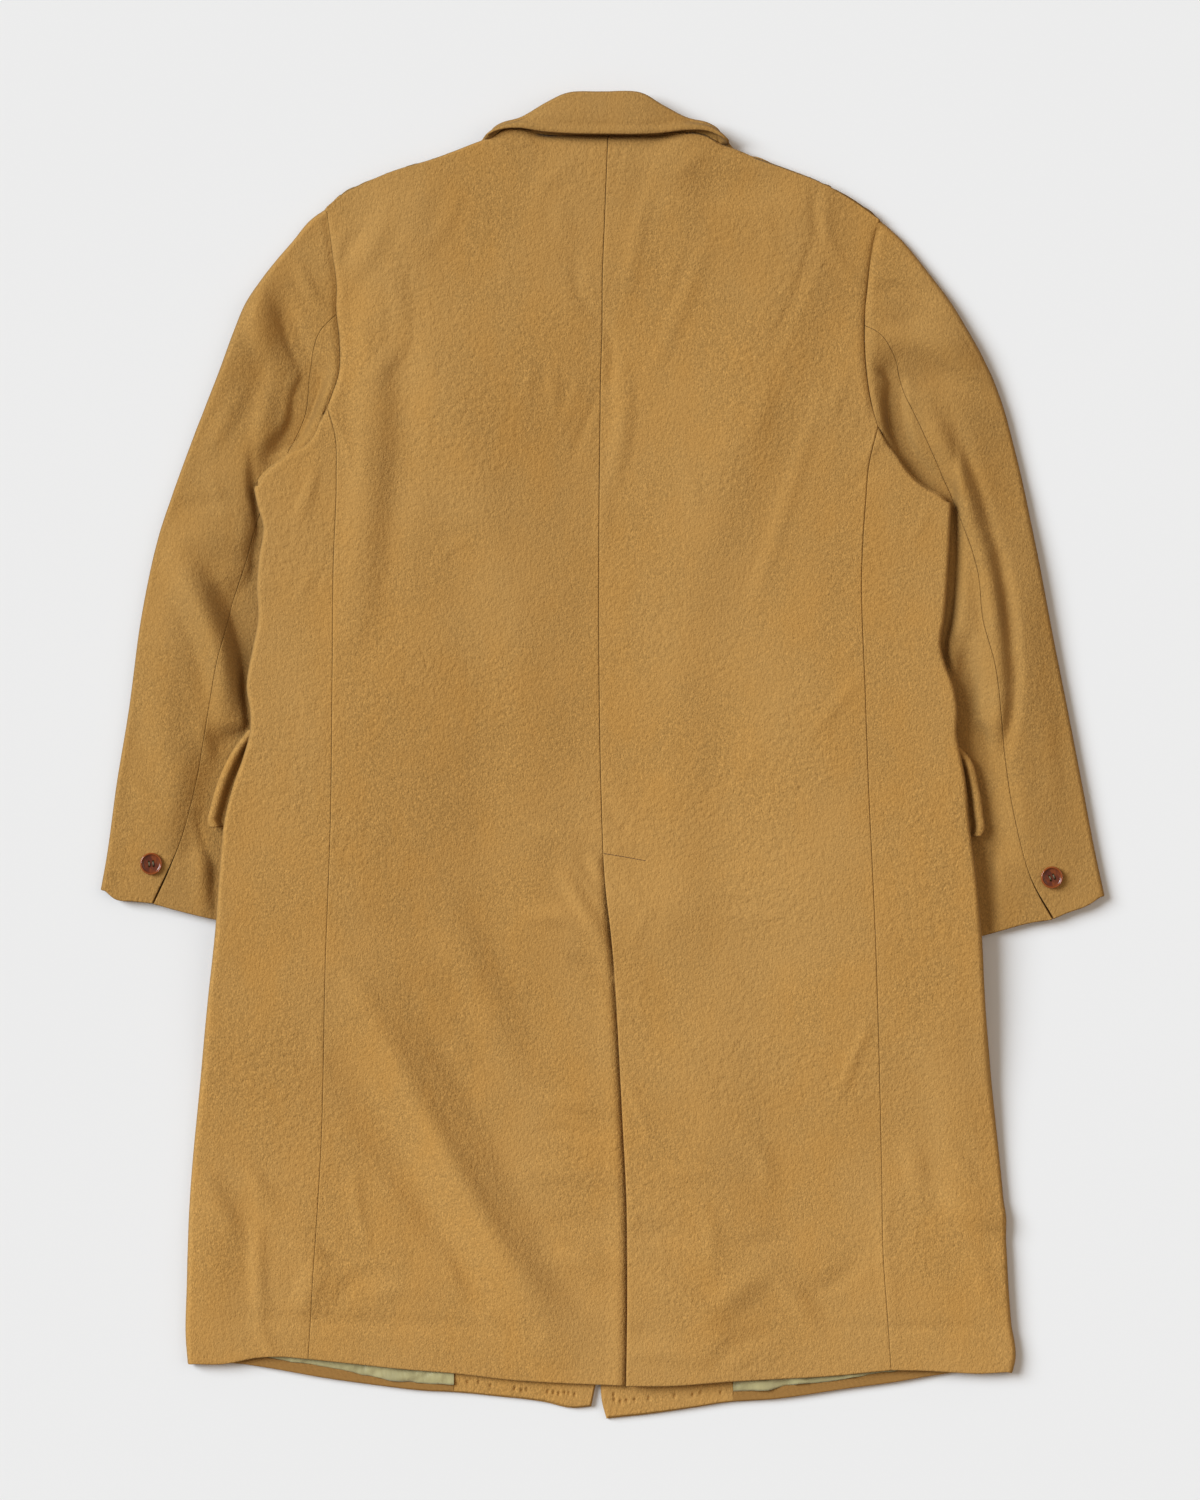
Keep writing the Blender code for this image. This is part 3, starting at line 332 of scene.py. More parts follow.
def sample(points, shares):
    """Points at these shares of the length of a smooth curve through the given ones."""
    knots = np.array(points, float)
    at = run_of(knots)
    steps = np.diff(at)
    slopes = np.gradient(knots, at, axis=0)
    wanted = np.clip(np.asarray(shares, float), 0.0, 1.0) * at[-1]
    cell = np.clip(np.searchsorted(at, wanted, side="right") - 1, 0, len(steps) - 1)
    width = steps[cell][:, None]
    t = ((wanted - at[cell]) / steps[cell])[:, None]
    return bent(t, knots[cell], knots[cell + 1], width * slopes[cell], width * slopes[cell + 1])


def along(points, count):
    return sample(points, np.linspace(0.0, 1.0, count))


def half(table, side):
    """This side's row of a table, turned into signed points."""
    return [(SIGN[side] * out, up) for out, up in table[side]]


def shifted(line, distance, towards):
    """A plan line moved sideways by a distance, to the side that the vector towards points to."""
    tangent = np.gradient(line, axis=0)
    tangent /= np.linalg.norm(tangent, axis=1)[:, None]
    normal = np.stack([tangent[:, 1], -tangent[:, 0]], axis=1)
    normal[normal @ np.array(towards, float) < 0] *= -1
    return line + normal * np.reshape(distance, (-1, 1)), normal


def mitred(normal, seam_direction):
    """The way that a rounded edge turns at its end, so that it stays on the seam that it meets."""
    direction = np.array(seam_direction, float)
    return direction / (normal @ direction)


def armhole_end(side):
    """The direction in which the armhole's seam reaches the shoulder's tip."""
    before, tip = np.array(half(ARMHOLE_ABOVE_SEAM, side)[-2:], float)
    return (tip - before) / np.linalg.norm(tip - before)


def raised(plan, height):
    """Plan points with their heights from a function of x and y."""
    return np.concatenate([plan, height(plan[..., 0], plan[..., 1])[..., None]], axis=-1)


def creases(table, x, y):
    """Height of the ridges and troughs of a table at each point."""
    total = np.zeros_like(x)
    for row in table["rows"]:
        fold = dict(zip(table["columns"], row))
        line = along([(fold[f"x{k}"], fold[f"y{k}"]) for k in range(3)], 15)
        reach = fold["half_width"]
        near = (
            (x > line[:, 0].min() - reach) & (x < line[:, 0].max() + reach)
            & (y > line[:, 1].min() - reach) & (y < line[:, 1].max() + reach)
        )
        if not near.any():
            continue
        points = np.stack([x[near], y[near]], axis=1)
        closest = np.full(len(points), np.inf)
        place = np.zeros(len(points))
        for k, (start, stop) in enumerate(zip(line, line[1:])):
            step = stop - start
            t = np.clip((points - start) @ step / (step @ step), 0, 1)
            distance = np.linalg.norm(points - start - t[:, None] * step, axis=1)
            nearer = distance < closest
            closest[nearer] = distance[nearer]
            place[nearer] = (k + t[nearer]) / (len(line) - 1)
        ends = np.sin(np.pi * np.clip(0.1 + 0.8 * place, 0, 1))
        total[near] += fold["height"] * ends * smooth_step(1 - closest / reach)
    return total


def between_heights(y, rise):
    """1 between the foot and the top of a rise, and 0 outside them."""
    over_foot = smooth_step((y - rise["foot"]) / rise["foot_fade"])
    return over_foot * smooth_step((rise["top"] - y) / rise["top_fade"])


def sleeve_zone(x, y, rise=SLEEVE_RISE):
    """1 where the coat's body lies on a sleeve, 0 where it lies on the floor."""
    inner = {side: np.array(SLEEVE_INNER[side])[::-1] for side in SIGN}
    edge = np.where(
        x < 0,
        np.interp(-y, -inner["left"][:, 1], inner["left"][:, 0]),
        np.interp(-y, -inner["right"][:, 1], inner["right"][:, 0]),
    )
    sideways = smooth_step((np.abs(x) - edge + rise["start"] + rise["slope"]) / rise["slope"])
    return sideways * between_heights(y, rise)


def lapel_zone(x, y):
    """1 over the collar, the lapels and the front buttons, which lie under the fronts."""
    rise = LAPEL_RISE
    half_width = np.interp(y, LAPEL_RISE_WIDTH["along"], LAPEL_RISE_WIDTH["half_width"])
    across = smooth_step((half_width + rise["slope"] - np.abs(x)) / rise["slope"])
    return across * smooth_step((y - rise["foot"]) / rise["foot_fade"])


def flap_zone(x, y, rise=FLAP_RISE):
    """1 over the pocket flaps, which lie between the fronts and the sleeves."""
    across = smooth_step((np.abs(x) - rise["start"]) / rise["slope"])
    return across * between_heights(y, rise)


def under_flap(x, y):
    return SLEEVE_LIFT * sleeve_zone(x, y) + LAPEL_LIFT * lapel_zone(x, y)


def front_height(x, y):
    """Middle of the fronts' lower wall."""
    return LOW + under_flap(x, y) + FLAP_LIFT * flap_zone(x, y)


def air(y):
    return AIR + (HEM_AIR - AIR) * smooth_step((-400.0 - y) / 70.0)


def back_height(x, y):
    """Middle of the upper wall: the back panels and the fronts' side strips."""
    spanned = (
        SLEEVE_LIFT * sleeve_zone(x, y, SLEEVE_SPAN)
        + FLAP_LIFT * flap_zone(x, y, FLAP_SPAN)
        + LAPEL_LIFT * lapel_zone(x, y)
    )
    return LOW + spanned + CLOTH + air(y) + creases(BACK_FOLDS, x, y)


def vent_x(y):
    rows = np.array(VENT_EDGE)
    return np.interp(y, rows[:, 0], rows[:, 1])


def right_back_height(x, y):
    """The right back panel lies over the vent's underlap."""
    reach = vent_x(y) + VENT_UNDERLAP + VENT_RISE["reach"]
    below_top = smooth_step((VENT_RISE["top"] - y) / VENT_RISE["top_fade"])
    return back_height(x, y) + VENT_LIFT * below_top * smooth_step((reach - x) / VENT_RISE["slope"])


def sleeve_lower_height(x, y):
    return np.full_like(x, LOW)


def rounded_edge(line, normal, high, low, steps=FOLD_STEPS):
    """Rows of points round a half circle from the higher wall to the lower one."""
    angles = np.radians(np.linspace(90, -90, steps + 1))
    radius = (high - low)[:, None] / 2
    middle = (high + low)[:, None] / 2
    plan = line[:, None] + normal[:, None] * (radius * np.cos(angles))[..., None]
    return np.concatenate([plan, (middle + radius * np.sin(angles))[..., None]], axis=-1)


def shoulder_edge(line, normal, wall, other_wall, share=1.0):
    """Rows of points round a quarter circle, and down a short upright lip, to half way between two walls."""
    reach = share * (HIGH - LOW) / 2 * np.ones_like(wall)
    turn = np.sign(other_wall - wall)
    drop = share * (np.abs(wall - other_wall) / 2 - LIP - SEAM_GAP / 2)
    angles = np.radians(np.linspace(0, 90, FOLD_STEPS // 2 + 1))
    out = np.concatenate([reach[:, None] * np.sin(angles), reach[:, None]], axis=1)
    down = np.concatenate([drop[:, None] * (1 - np.cos(angles)), (drop + share * LIP)[:, None]], axis=1)
    plan = line[:, None] + normal[:, None] * out[..., None]
    return np.concatenate([plan, (wall[:, None] + turn[:, None] * down)[..., None]], axis=-1)


# How finely the cloth is made: the distance between its rows, and the rows that round off an edge
STEP = 3.2
UNDER_STEP = 7.0
HEM_STEP = 0.9
EDGE_ROWS = (0.0, 0.2, 0.6, 1.1, 1.7)
SEAM_EDGE = {"reach": 1.2, "least": 0.7}
FREE_EDGE = {"reach": 1.5, "least": 0.25}
FREE_ENDS = {"first_row": FREE_EDGE, "last_row": FREE_EDGE}
DEEPEST = {"from": 1.2, "more": 1.1}

# Creases of the coat's back: where each starts, bends and ends, its height (a trough's is below
# zero) and its half width
BACK_CREASES = {
    "columns": CREASE_COLUMNS,
    "rows": [
        # Left shoulder and shoulder blade
        (-188, 490, -209, 455, -238, 418, 1.9, 18),
        (-150, 522, -166, 482, -170, 440, 1.3, 24),
        (-186, 434, -181, 400, -181, 366, 1.8, 14),
        (-180, 372, -190, 356, -204, 340, 1.6, 14),
        (-226, 480, -238, 450, -240, 430, 0.8, 9),
        (-128, 506, -146, 470, -160, 452, 0.9, 12),
        (-216, 392, -214, 376, -212, 360, 1.0, 11),
        (-246, 306, -233, 292, -226, 260, 1.4, 9),
        (-258, 262, -262, 236, -268, 210, 1.0, 9),
        (-220, 300, -214, 270, -216, 240, 0.7, 10),
        # Between the shoulder blades
        (-26, 450, -18, 410, 2, 386, -1.2, 9),
        (2, 394, 9, 366, 8, 328, -1.2, 9),
        (-2, 332, -12, 304, -27, 266, -1.0, 7),
        (-45, 348, -43, 325, -42, 302, 1.0, 9),
        (-20, 345, -26, 318, -38, 290, 0.7, 7),
        (-64, 350, -66, 335, -72, 322, 0.7, 8),
        (-40, 500, -36, 480, -30, 460, 0.8, 12),
        (-20, 535, -52, 512, -60, 480, 0.8, 14),
        (18, 346, 20, 310, 10, 244, 2.1, 13),
        (0, 250, 2, 215, -2, 180, 0.9, 11),
        (51, 528, 36, 482, 19, 398, 1.0, 11),
        (94, 460, 72, 405, 48, 350, 1.2, 12),
        (72, 455, 62, 432, 58, 410, 0.7, 9),
        (55, 514, 110, 509, 172, 508, -2.8, 26),
        (66, 520, 84, 536, 104, 545, 0.9, 10),
        (196, 478, 176, 418, 150, 356, -1.2, 10),
        (192, 510, 190, 492, 193, 470, -1.2, 8),
        (203, 508, 203, 462, 230, 424, 1.1, 9),
        (140, 490, 150, 470, 152, 450, 0.6, 9),
        (198, 328, 167, 230, 134, 130, 1.1, 12),
        (218, 342, 210, 318, 200, 300, 0.9, 11),
        (150, 335, 142, 305, 132, 280, 0.9, 14),
        (232, 262, 248, 282, 266, 292, 1.1, 9),
        (222, 240, 236, 250, 250, 252, -0.7, 8),
        (70, 275, 80, 250, 84, 220, 0.6, 13),
        # Above and beside the vent
        (-2, -32, 14, -60, 34, -74, -0.8, 8),
        (12, -28, 26, -50, 44, -60, 0.6, 9),
        (-60, -66, -34, -74, -8, -90, 2.0, 10),
        (-20, -90, -10, -106, 0, -124, -2.4, 9),
        (-34, -108, -14, -142, 6, -178, 3.2, 11),
        (-62, -143, -34, -146, -4, -166, 3.2, 12),
        (-24, -184, -8, -190, 8, -208, -2.4, 11),
        (108, -131, 136, -133, 160, -138, -0.9, 7),
        (106, -145, 134, -147, 160, -146, 0.7, 7),
        (16, -108, 28, -124, 38, -140, 0.7, 7),
        (50, -132, 36, -150, 26, -172, 0.6, 8),
        (118, -184, 132, -204, 150, -222, -0.6, 7),
        (234, 72, 208, 42, 186, 16, 1.0, 9),
        (-256, 252, -268, 228, -276, 206, 0.8, 7),
        (-262, 164, -268, 150, -272, 138, 0.7, 7),
        (-148, 172, -134, 186, -116, 194, 0.7, 7),
        (40, 248, 40, 236, 40, 222, 0.6, 6),
        (276, 190, 286, 206, 292, 220, 0.6, 7),
        # The trough below the long fold of the left skirt, and the streaks beside it
        (-200, -244, -129, -378, -46, -514, 3.2, 18),
        (-236, -284, -178, -374, -106, -482, -2.6, 26),
        (-190, -240, -150, -262, -118, -300, -1.6, 20),
        (-236, -190, -214, -215, -206, -232, 1.4, 18),
        (-78, -440, -48, -488, -8, -522, 1.8, 18),
        (-224, -372, -219, -410, -211, -436, 1.3, 9),
        (-196, -386, -182, -400, -166, -412, 1.0, 12),
        (-146, -440, -136, -462, -128, -486, 1.0, 11),
        (-256, -244, -254, -268, -244, -286, 0.9, 8),
        (-276, -246, -262, -256, -250, -262, -0.8, 9),
        # Puckers between the long fold and the vent
        (-62, -304, -32, -312, 4, -318, 2, 13),
        (-60, -340, -30, -338, 2, -342, -1.1, 10),
        (-64, -376, -30, -374, 6, -388, 1.8, 14),
        (-54, -424, -28, -420, 4, -424, -1, 12),
        (-44, -452, -22, -454, 8, -466, 2.2, 15),
        # Left skirt, low down
        (-344, -372, -330, -398, -312, -412, -2.4, 16),
        (-318, -372, -308, -388, -296, -402, 2.3, 12),
        (-352, -404, -338, -416, -330, -438, 1.9, 13),
        (-309, -424, -309, -462, -306, -508, 2.2, 11),
        (-284, -438, -262, -446, -244, -444, 1.6, 10),
        (-272, -504, -262, -480, -256, -458, 2.5, 19),
        (-258, -430, -246, -446, -226, -462, -1.6, 9),
        (-238, -500, -228, -476, -200, -466, -1.4, 13),
        (-206, -488, -180, -480, -160, -488, 1.5, 13),
        (-312, -510, -300, -530, -294, -542, 1.4, 8),
        (-110, -500, -96, -514, -84, -524, 1.4, 12),
        (-330, -506, -200, -510, -62, -518, -1.6, 13),
        # Right skirt
        (26, -428, 56, -430, 84, -440, -2.2, 15),
        (44, -470, 74, -486, 106, -510, 2.3, 15),
        (98, -502, 124, -480, 150, -462, 2.5, 19),
        (152, -468, 172, -486, 190, -512, 2.4, 16),
        (190, -484, 214, -470, 236, -450, -1.4, 14),
        (24, -516, 40, -518, 56, -524, -1.4, 10),
        (22, -536, 58, -538, 96, -548, 1.9, 11),
        (98, -548, 120, -530, 150, -520, -1.7, 14),
        (84, -398, 98, -424, 98, -456, 1.2, 12),
        (104, -440, 130, -442, 160, -434, -1.1, 12),
        (128, -342, 146, -366, 150, -392, 1.5, 14),
        (22, -288, 34, -320, 44, -346, 0.8, 7),
        (60, -372, 76, -376, 96, -376, 1.2, 11),
        (240, -240, 226, -272, 213, -304, 1.5, 8),
        (276, -350, 282, -372, 286, -396, 1.9, 15),
        (304, -390, 334, -411, 368, -420, 4.1, 20),
        (318, -336, 330, -360, 348, -384, -1.1, 12),
        (328, -440, 340, -462, 350, -490, 1.2, 14),
        (206, -513, 286, -515, 364, -515, -1.1, 8),
        (252, -400, 256, -450, 262, -510, 0.9, 12),
    ],
}
SLEEVE_CREASES = {
    "columns": CREASE_COLUMNS,
    "rows": [
        # Left sleeve, from the shoulder down
        (-273, 442, -266, 425, -252, 402, 1.9, 9),
        (-316, 418, -304, 378, -286, 338, 5.0, 20),
        (-290, 412, -276, 374, -262, 338, -4.5, 15),
        (-296, 342, -303, 305, -312, 262, 2.6, 14),
        (-322, 330, -338, 300, -354, 272, 1.8, 12),
        (-388, 225, -360, 224, -334, 228, -2.2, 13),
        (-392, 197, -365, 195, -335, 188, 2.4, 17),
        (-352, 248, -346, 236, -340, 218, 1.2, 9),
        (-380, 174, -350, 114, -330, 34, 10.0, 24),
        (-402, 62, -393, 12, -380, -42, 1.8, 24),
        (-362, 30, -356, 12, -352, -6, 1.8, 10),
        (-420, -10, -412, -40, -404, -70, 0.8, 16),
        (-366, -50, -362, -90, -360, -136, 1.6, 11),
        # Hollow under the left arm, and hollows beside the body
        (-252, 342, -266, 322, -270, 300, -11.0, 19),
        (-266, 318, -276, 292, -296, 268, -10.0, 17),
        (-303, 226, -299, 205, -303, 168, -13.0, 26),
        (-344, 158, -330, 128, -320, 92, -8.0, 30),
        (-304, 172, -306, 100, -313, 26, -16.0, 36),
        (-348, -62, -345, -100, -344, -142, -6.0, 15),
        (-360, -58, -353, -72, -346, -88, -5.0, 12),
        # Right sleeve, from the shoulder down
        (246, 420, 272, 418, 300, 403, -2.2, 11),
        (260, 391, 272, 390, 284, 387, -1.0, 7),
        (250, 374, 286, 372, 328, 361, 6.0, 22),
        (272, 340, 304, 338, 345, 320, -3.5, 18),
        (292, 320, 298, 292, 310, 262, 1.4, 13),
        (303, 292, 327, 236, 342, 182, 5.0, 15),
        (341, 194, 351, 130, 355, 76, 5.5, 14),
        (355, 90, 356, 50, 352, 8, 3.5, 11),
        (314, 304, 336, 238, 358, 168, -3.2, 14),
        (357, 178, 366, 120, 371, 66, -4.0, 12),
        (371, 82, 370, 44, 364, 6, -3.0, 10),
        (344, 293, 356, 294, 367, 292, -0.7, 4),
        (340, 110, 344, 84, 348, 60, 1.8, 9),
        (398, 60, 402, 0, 408, -50, 1.0, 14),
        # Hollow under the right arm, and hollows beside the body
        (247, 347, 256, 343, 268, 336, -5.0, 8),
        (263, 332, 264, 298, 274, 266, -12.0, 15),
        (262, 292, 282, 258, 308, 235, -9.0, 15),
        (306, 226, 305, 165, 299, 92, -14.0, 26),
        (326, 98, 328, 56, 324, 14, -11.0, 18),
        (338, 34, 341, 5, 340, -36, -7.0, 10),
        (346, -72, 347, -115, 350, -158, -5.5, 14),
    ],
}
# How the sleeves puff up away from the body that lies on them, and how far they rise to meet the armhole
SLEEVE_PUFF = {
    "left": 5.5, "right": 5.0, "start": 0.5, "slope": 9.0, "to_edge": 60.0, "armhole": 300.0,
    "armhole_fade": 60.0, "top": 360.0, "top_fade": 90.0, "foot": -170.0, "foot_fade": 130.0,
}
HEAD_RISE = {
    "foot": 258.0, "foot_fade": 36.0, "along": (290, 320, 350, 390), "reach": (15, 18, 28, 50),
    "roll": 11.0, "roll_foot": 262.0, "roll_fade": 20.0, "edge_fade": 16.0,
}
# Below the underarm the sleeve drops under the body's wall: how far above that point each change starts,
# and the length or width that it takes
SLEEVE_DROP = {"above": 4.0, "fade": 14.0}
UNDER_BODY = {"out": 0.6, "width": 1.6, "above": 2.0, "fade": 10.0}
FOLD_EDGE_FADE = 10.0
# The sleeve's two walls stay this far apart, and near it their distance eases off this sharply
LEAST_AIR = 0.3
AIR_EASE = 2.0

# The back's upper edge: where its rounding ends beside the neck, and how it sinks at the collar's seam
NECK_ROUNDING = 20.0
NECK_DIP = {
    "deep": 8.0, "near": 5.4, "soft": 1.8, "far": 26.0, "middle": 44.0, "fade": 34.0, "rise": 1.2,
    "rise_end": 105.0, "rise_fade": 20.0,
}

# The open vent: where the left panel sinks below the right one's edge, and how wide the gap is
VENT_GAP = {
    "top": -86.0, "fade": 12.0, "deep": 2.6, "swell": 0.8, "swell_at": 2.0, "swell_half_width": 14.0,
    "along": (-600, -540, -400, -250, -200, -175, -120, -90), "width": (4, 4, 4, 4.5, 6, 5, 5.5, 5),
}
# The groove along the armhole's seam
ARMHOLE_GROOVE = {"depth": 1.8, "reach": 5.0, "foot": 296.0, "fade": 16.0, "top_fade": 13.0}

# The flap's end rolls up, and the sleeve makes room for it
FLAP_ROLL = {"rise": 3.4, "at": 3.8, "half_width": 5.5, "dip": 4.0, "start": 6.0, "width": 4.5}
FLAP_ROOM = {
    "foot": -105.0, "foot_fade": 24.0, "top": 34.0, "top_fade": 24.0, "reach": 54.0, "slope": 38.0,
    "hollow": 2.4,
}
CUFF_SLIT = {"left": -74.0, "right": -98.0, "length": 55.0, "width": 1.5}

# Half of a button's section, as shares of its radius and its thickness, and its holes and thread as shares
# of its radius
BUTTON_PROFILE = [
    (0, 0.52), (0.70, 0.54), (0.78, 0.60), (0.82, 0.78), (0.85, 0.93), (0.89, 1.0), (0.94, 0.96),
    (0.98, 0.80), (1.0, 0.55), (0.98, 0.3), (0.9, 0.1), (0.8, 0.02), (0, 0),
]
BUTTON_HOLE = {"radius": 0.11, "out": 0.28}
BUTTON_THREAD = {"radius": 0.027, "apart": 0.026, "dish": 0.54}
CUFF_BUTTONS = {
    "columns": ("node", "side", "place", "turned"),
    "rows": [
        ("cuff_button_left", "left", (-404.8, -97.7), 0.1),
        ("cuff_button_right", "right", (404.2, -110.0), 0.4),
    ],
}
CUFF_BUTTON_CLEARANCE = 0.2

# Hand-sewn pits of the facings, as (outwards, along)
FACING_PITS = {
    "left": [(120.6, -564), (110.7, -564), (99.9, -567), (78.3, -569.7), (72, -571.5), (67.5, -570.6),
             (48.6, -572.4), (43.2, -573.3), (38.7, -574.2), (33.3, -573.3), (29.7, -574.2), (24.3, -575.1)],
    "right": [(10.8, -575.1), (11.5, -579.6), (17.1, -581.4), (22.5, -580.5), (29.7, -579.6), (42.3, -578.7),
              (65.7, -576), (82, -575.1), (89, -573.3), (107, -573.3)],
}
FACING_PIT = {"radius": 2.2, "slope": 1.7, "thinned": 0.9, "length": 1.4}
FACING_INNER_X = {"left": 12.0, "right": 5.5}
HEM_BAND_END = 328.0
HEM_BAND_WAVE = 0.7
# The lining's loose edge: where it starts to show, and how far it lifts and puckers
LINING_PUCKER = {
    "from": -550.0, "fade": 12.0, "rest": 0.9, "waves": 0.8, "fine": 0.6, "more": 0.9, "lift": 0.7,
}
VENT_TACK = ((1.8, -88.5), (20.0, -91.5), (39.4, -95.0))


def spread(length, step=STEP, start=True, stop=True):
    """Shares of a length in even steps, with close ones at the ends that show as edges."""
    first = np.array(EDGE_ROWS if start else (0.0,))
    last = length - np.array(EDGE_ROWS if stop else (0.0,))[::-1]
    count = max(3, round((last[0] - first[-1]) / step) + 1)
    return np.concatenate([first, np.linspace(first[-1], last[0], count)[1:-1], last]) / length


def patch(outer, inner, bottom, top, up, over):
    """Rows from the outer line to the inner one, which start as the bottom line and end as the top one."""
    up, over = up[:, None, None], over[None, :, None]
    corners = (
        (1 - up) * ((1 - over) * bottom[0] + over * bottom[-1])
        + up * ((1 - over) * top[0] + over * top[-1])
    )
    between_rows = (1 - up) * bottom[None] + up * top[None]
    between_lines = (1 - over) * outer[:, None] + over * inner[:, None]
    return between_rows + between_lines - corners


def pinned(line, shares, start, stop):
    """A line whose points move along a little, so that it starts and stops at these points."""
    shares = shares[:, None]
    return line + (1 - shares) * (start - line[0]) + shares * (stop - line[-1])


def ripples(x, y, size_x, size_y, seed):
    """A smooth uneven height between -1 and 1, with hills of about these sizes."""
    cells = 512
    lattice = np.random.default_rng(seed).uniform(-1, 1, (cells, cells))
    u, v = x / size_x + cells / 2, y / size_y + cells / 2
    i, j = np.floor(u).astype(int) % cells, np.floor(v).astype(int) % cells
    s, t = u - np.floor(u), v - np.floor(v)
    s, t = s**3 * (s * (s * 6 - 15) + 10), t**3 * (t * (t * 6 - 15) + 10)
    i1, j1 = (i + 1) % cells, (j + 1) % cells
    low = lattice[i, j] * (1 - s) + lattice[i1, j] * s
    high = lattice[i, j1] * (1 - s) + lattice[i1, j1] * s
    return low * (1 - t) + high * t


def softened(height):
    """Troughs no deeper than the air below the wall."""
    start, more = DEEPEST["from"], DEEPEST["more"]
    deep = np.minimum(height + start, 0)
    return np.maximum(height, -start) + more * np.tanh(deep / more)


def back_relief(x, y):
    """Creases and unevenness of the coat's back over its solid."""
    slanted_x, slanted_y = x + 0.35 * y, y - 0.35 * x
    uneven = (
        0.22 * ripples(slanted_x, slanted_y, 95, 150, 11)
        + 0.22 * ripples(y * 0.9 - x * 0.2, x, 46, 60, 12)
        + 0.13 * ripples(slanted_x, slanted_y, 19, 26, 13)
    )
    return softened(creases(BACK_CREASES, x, y) + uneven)


def along_edge(side, y):
    """How far outwards the body's side fold is at a height along the coat."""
    fold = sample(SIDE_FOLD[side], np.linspace(0, 1, 120))
    return np.interp(y, fold[:, 1], fold[:, 0])


def armhole_x(side, y):
    """How far outwards the armhole's edge is at a height along the coat."""
    edge = sample(ARMHOLE_BELOW_SEAM[side] + ARMHOLE_ABOVE_SEAM[side][1:], np.linspace(0, 1, 160))
    return np.interp(y, edge[:, 1], edge[:, 0])


def groove_depth(side, y):
    """How deep the groove along the armhole's seam is: it fades towards the underarm and the shoulder."""
    over_foot = smooth_step((y - ARMHOLE_GROOVE["foot"]) / ARMHOLE_GROOVE["fade"])
    below_tip = smooth_step((ARMHOLE_ABOVE_SEAM[side][-1][1] - y) / ARMHOLE_GROOVE["top_fade"])
    return ARMHOLE_GROOVE["depth"] * over_foot * below_tip


def armhole_groove(side, away, y):
    """How far the cloth is drawn down on each side of the armhole's seam."""
    return groove_depth(side, y) * bulge(away, 0, ARMHOLE_GROOVE["reach"])


def neck_dip(side, x, y):
    """How far the back panel sinks towards the collar's seam in the middle, and rises beside it."""
    out = np.abs(x)
    neck = sample(BACK_NECK[side], np.linspace(0, 1, 80))[::-1]
    below = np.interp(out, neck[:, 0], neck[:, 1]) - y
    near, far = bulge(below, 0, NECK_DIP["near"]), bulge(below, 0, NECK_DIP["far"])
    middle = smooth_step((NECK_DIP["middle"] + NECK_DIP["fade"] - out) / NECK_DIP["fade"])
    beside = smooth_step((out - NECK_DIP["middle"]) / NECK_DIP["fade"])
    beside = beside * smooth_step((NECK_DIP["rise_end"] - out) / NECK_DIP["rise_fade"])
    dip = NECK_DIP["deep"] * near + NECK_DIP["soft"] * far
    return NECK_DIP["rise"] * beside * far - dip * middle


def vent_gap(x, y):
    """The left back panel swells beside the vent and then sinks under the right panel's edge."""
    away = vent_x(y) - x
    width = np.interp(y, VENT_GAP["along"], VENT_GAP["width"])
    there = smooth_step((VENT_GAP["top"] - y) / VENT_GAP["fade"])
    sink = smooth_step(1 - away / width)
    swell = bulge(away - width, VENT_GAP["swell_at"], VENT_GAP["swell_half_width"])
    return there * (VENT_GAP["swell"] * swell - VENT_GAP["deep"] * sink)


def wall_look(side, x, y):
    """Middle of the upper wall: the back panels and the side strips."""
    if side == "left":
        return back_wall(side, back_height, x, y) + vent_gap(x, y)
    return back_wall(side, right_back_height, x, y)


def back_wall(side, height, x, y):
    groove = armhole_groove(side, np.abs(x) - armhole_x(side, y), y)
    return height(x, y) + back_relief(x, y) + neck_dip(side, x, y) - groove


